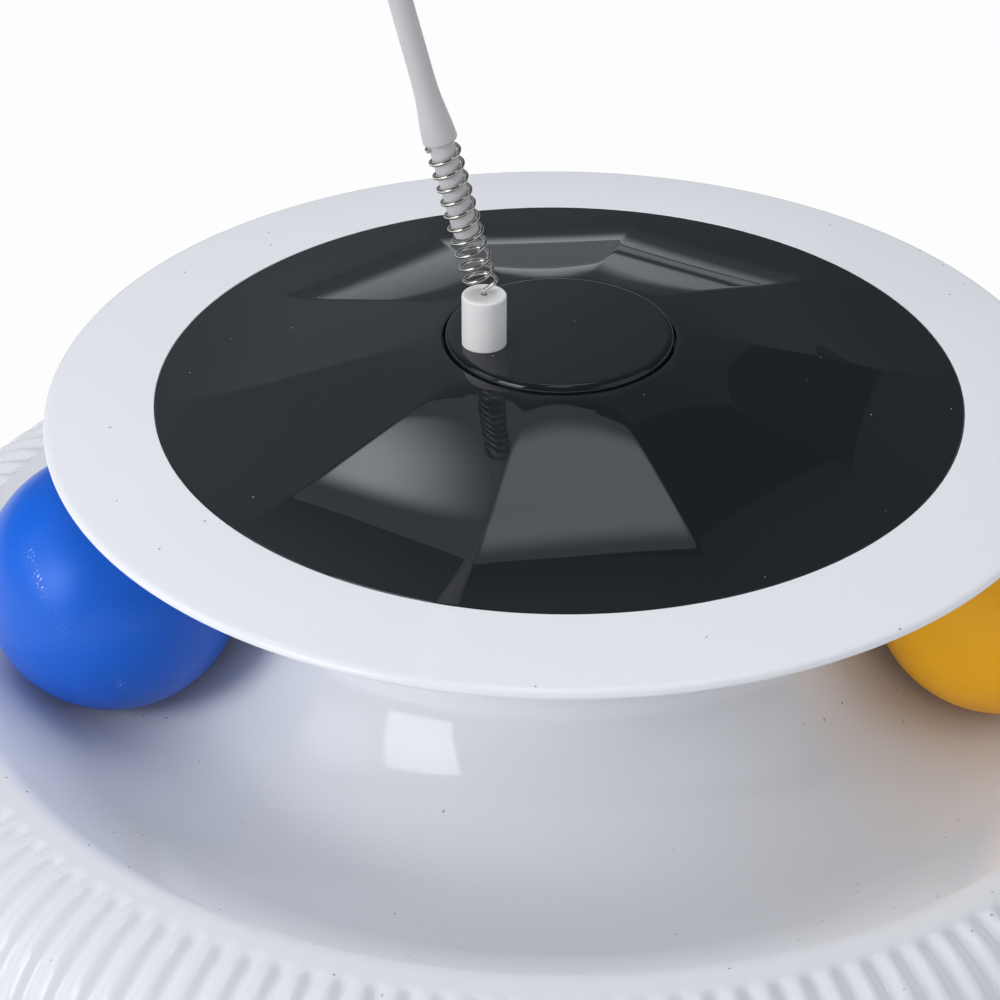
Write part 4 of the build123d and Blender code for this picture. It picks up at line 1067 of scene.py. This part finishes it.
blue = ball("ball_blue_skin", 190, (0.80, -0.10, 0.59), (0.003, 0.115, 0.63), (0.002, 0.094, 0.54), 0.60)
dress(blue, "ball_blue", "blue_ball")
yellow = ball("ball_yellow_skin", -10, (-0.5, 0.3, 0.8), (0.97, 0.465, 0.002), (0.92, 0.415, 0.002), 0.10)
dress(yellow, "ball_yellow", "yellow_ball")


# %% [markdown]
# ## Screws and feet underneath
# A screw head is a turned button with a cross cut into it. A Boolean could cut the cross, and often leaves
# slivers. Here the cross is a twelve-sided outline sunk into the face, and triangles fill the ring between
# it and the rim. The scatter tree sets down the screws and the rubber feet.


# %% Screw shape
def on_circle(radius, count, start, height):
    """Points spaced evenly round a circle."""
    angles = [start + TURN * i / count for i in range(count)]
    return [Vector((radius * math.cos(a), radius * math.sin(a), height)) for a in angles]


def screw_shape(head_radius, head_rise, shank_radius, shank_length):
    """Cross-recessed screw that points up its own Z axis, with its face at zero."""
    form = bmesh.new()

    def ring(radius, height):
        return [form.verts.new(point) for point in on_circle(radius, 24, 0.0, height)]

    def pairs(loop):
        return list(zip(loop, loop[1:] + loop[:1]))

    arm, half = head_radius * 0.62, head_radius * 0.17
    plan = [(arm, -half), (arm, half), (half, half)]
    for quarter in range(3):
        plan += [(-y, x) for x, y in plan[-3:]]
    mouth = [form.verts.new((x, y, 0)) for x, y in plan]
    bottom = [form.verts.new((x * 0.8, y * 0.8, head_rise * 0.7)) for x, y in plan]
    face, rim = ring(head_radius * 0.86, 0), ring(head_radius, head_rise * 0.45)
    seat, neck = ring(head_radius, head_rise), ring(shank_radius, head_rise)
    end = ring(shank_radius * 0.8, shank_length)
    for low, high in ((face, rim), (rim, seat), (seat, neck), (neck, end), (mouth, bottom)):
        for (a, b), (c, d) in zip(pairs(low), pairs(high)):
            form.faces.new((a, b, d, c))
    form.faces.new(end)
    form.faces.new(bottom)
    edges = [form.edges.get(pair) or form.edges.new(pair) for loop in (face, mouth) for pair in pairs(loop)]
    bmesh.ops.triangle_fill(form, edges=edges, use_beauty=True)
    bmesh.ops.recalc_face_normals(form, faces=form.faces)
    mesh = bpy.data.meshes.new("screw")
    form.to_mesh(mesh)
    form.free()
    mesh.transform(Matrix.Scale(MM, 4))
    return put("screw", mesh)


# %% Screws and feet
upward = Vector((0, 0, 1))
screw_circle, screw_count, screw_face = 98.0, 6, 2.0
screw_places = on_circle(screw_circle, screw_count, math.radians(30), screw_face)
screw_turns = [Vector((math.cos(a), math.sin(a), 0)) for a in (0.3, 1.2, 2.0, 0.8, 2.6, 1.7)]
screw = screw_shape(head_radius=2.8, head_rise=1.2, shank_radius=1.3, shank_length=10.0)
screws = scattered("base_screw_set", screw, screw_places, [upward] * screw_count, screw_turns,
                   [1.0] * screw_count, disorder=0.0, seed=3, material=steel_bright)
dress(screws, "housing", "base_screws")

foot_circle, foot_count, foot_radius, foot_top = 94.0, 4, 6.0, 3.0
dimple_radius, dimple = 3.9, 0.25
foot_places = on_circle(foot_circle, foot_count, math.radians(45), 0.0)
foot_outline = rounded([
    (0, dimple, 0), (dimple_radius, dimple, 0.2), (dimple_radius + 0.2, 0, 0.2), (foot_radius, 0, 0.9),
    (foot_radius, foot_top, 0), (0, foot_top, 0)])
foot = turned("foot", foot_outline, 32, foot_rubber)
feet = scattered("rubber_foot_set", foot, foot_places, [upward] * foot_count,
                 [Vector((1, 0, 0))] * foot_count, [1.0] * foot_count, disorder=0.0, seed=5,
                 material=foot_rubber)
dress(feet, "housing", "rubber_feet")


# %% [markdown]
# ## Pieces inside
# The gear train, motor, cells and board keep their solid shapes, because those are right already. Each takes
# the finish that its slot names. Two of them get a small pattern of their own: tracks on the board, from a
# wave, and a coloured band on the cells, from a step along their length.


# %% Board and cells
def board_finish(name):
    """Green solder mask with paler copper tracks below it."""
    material, tree, shader, place = finish_nodes(name)
    waves = add(tree, "ShaderNodeTexWave", Vector=place, Scale=120.0, Distortion=4.0,
                settings={"wave_type": "BANDS"})
    tracks = ramp(tree, waves.outputs["Fac"], 0.72, 0.76, 0.0, 1.0)
    base = tint(tree, tracks, (0.010, 0.085, 0.03), (0.03, 0.20, 0.07))
    feed(tree, shader, Base_Color=base, Roughness=0.35)
    return material


def cell_finish(name):
    """Metal foil sleeve with one broad coloured band."""
    material, tree, shader, place = finish_nodes(name)
    along = add(tree, "ShaderNodeSeparateXYZ", place).outputs["X"]
    band = ramp(tree, along, -6.0 * MM, -5.5 * MM, 0.0, 1.0)
    base = tint(tree, band, (0.02, 0.022, 0.026), (0.42, 0.36, 0.22))
    feed(tree, shader, Base_Color=base, Metallic=0.6, Roughness=uneven(tree, place, 80.0, 0.24, 0.36))
    return material


# %% Finishes of the solids
finishes = {
    "white_gloss": white_gloss, "white_satin": white_satin, "black_gloss": black_gloss,
    "steel": steel_bright, "contact_metal": contact_metal, "bronze": bronze,
    "gear_plastic": gear_plastic, "drive_grey": drive_grey, "motor_steel": motor_zinc,
    "nylon_white": nylon_white, "board": board_finish("board"),
    "cell": cell_finish("cell"), "lead_sleeve": lead_sleeve, "foot_rubber": foot_rubber,
    "spring_wire": spring_nickel, "feather": feather_dye}
painted_nodes = []
for row in frame["record"]["subparts"]:
    if row["material_slot"] in finishes:
        mesh = nodes[row["node"]].data
        mesh.materials.clear()
        mesh.materials.append(finishes[row["material_slot"]])
        painted_nodes.append(row["node"])
print("nodes with finishes:", len(painted_nodes))
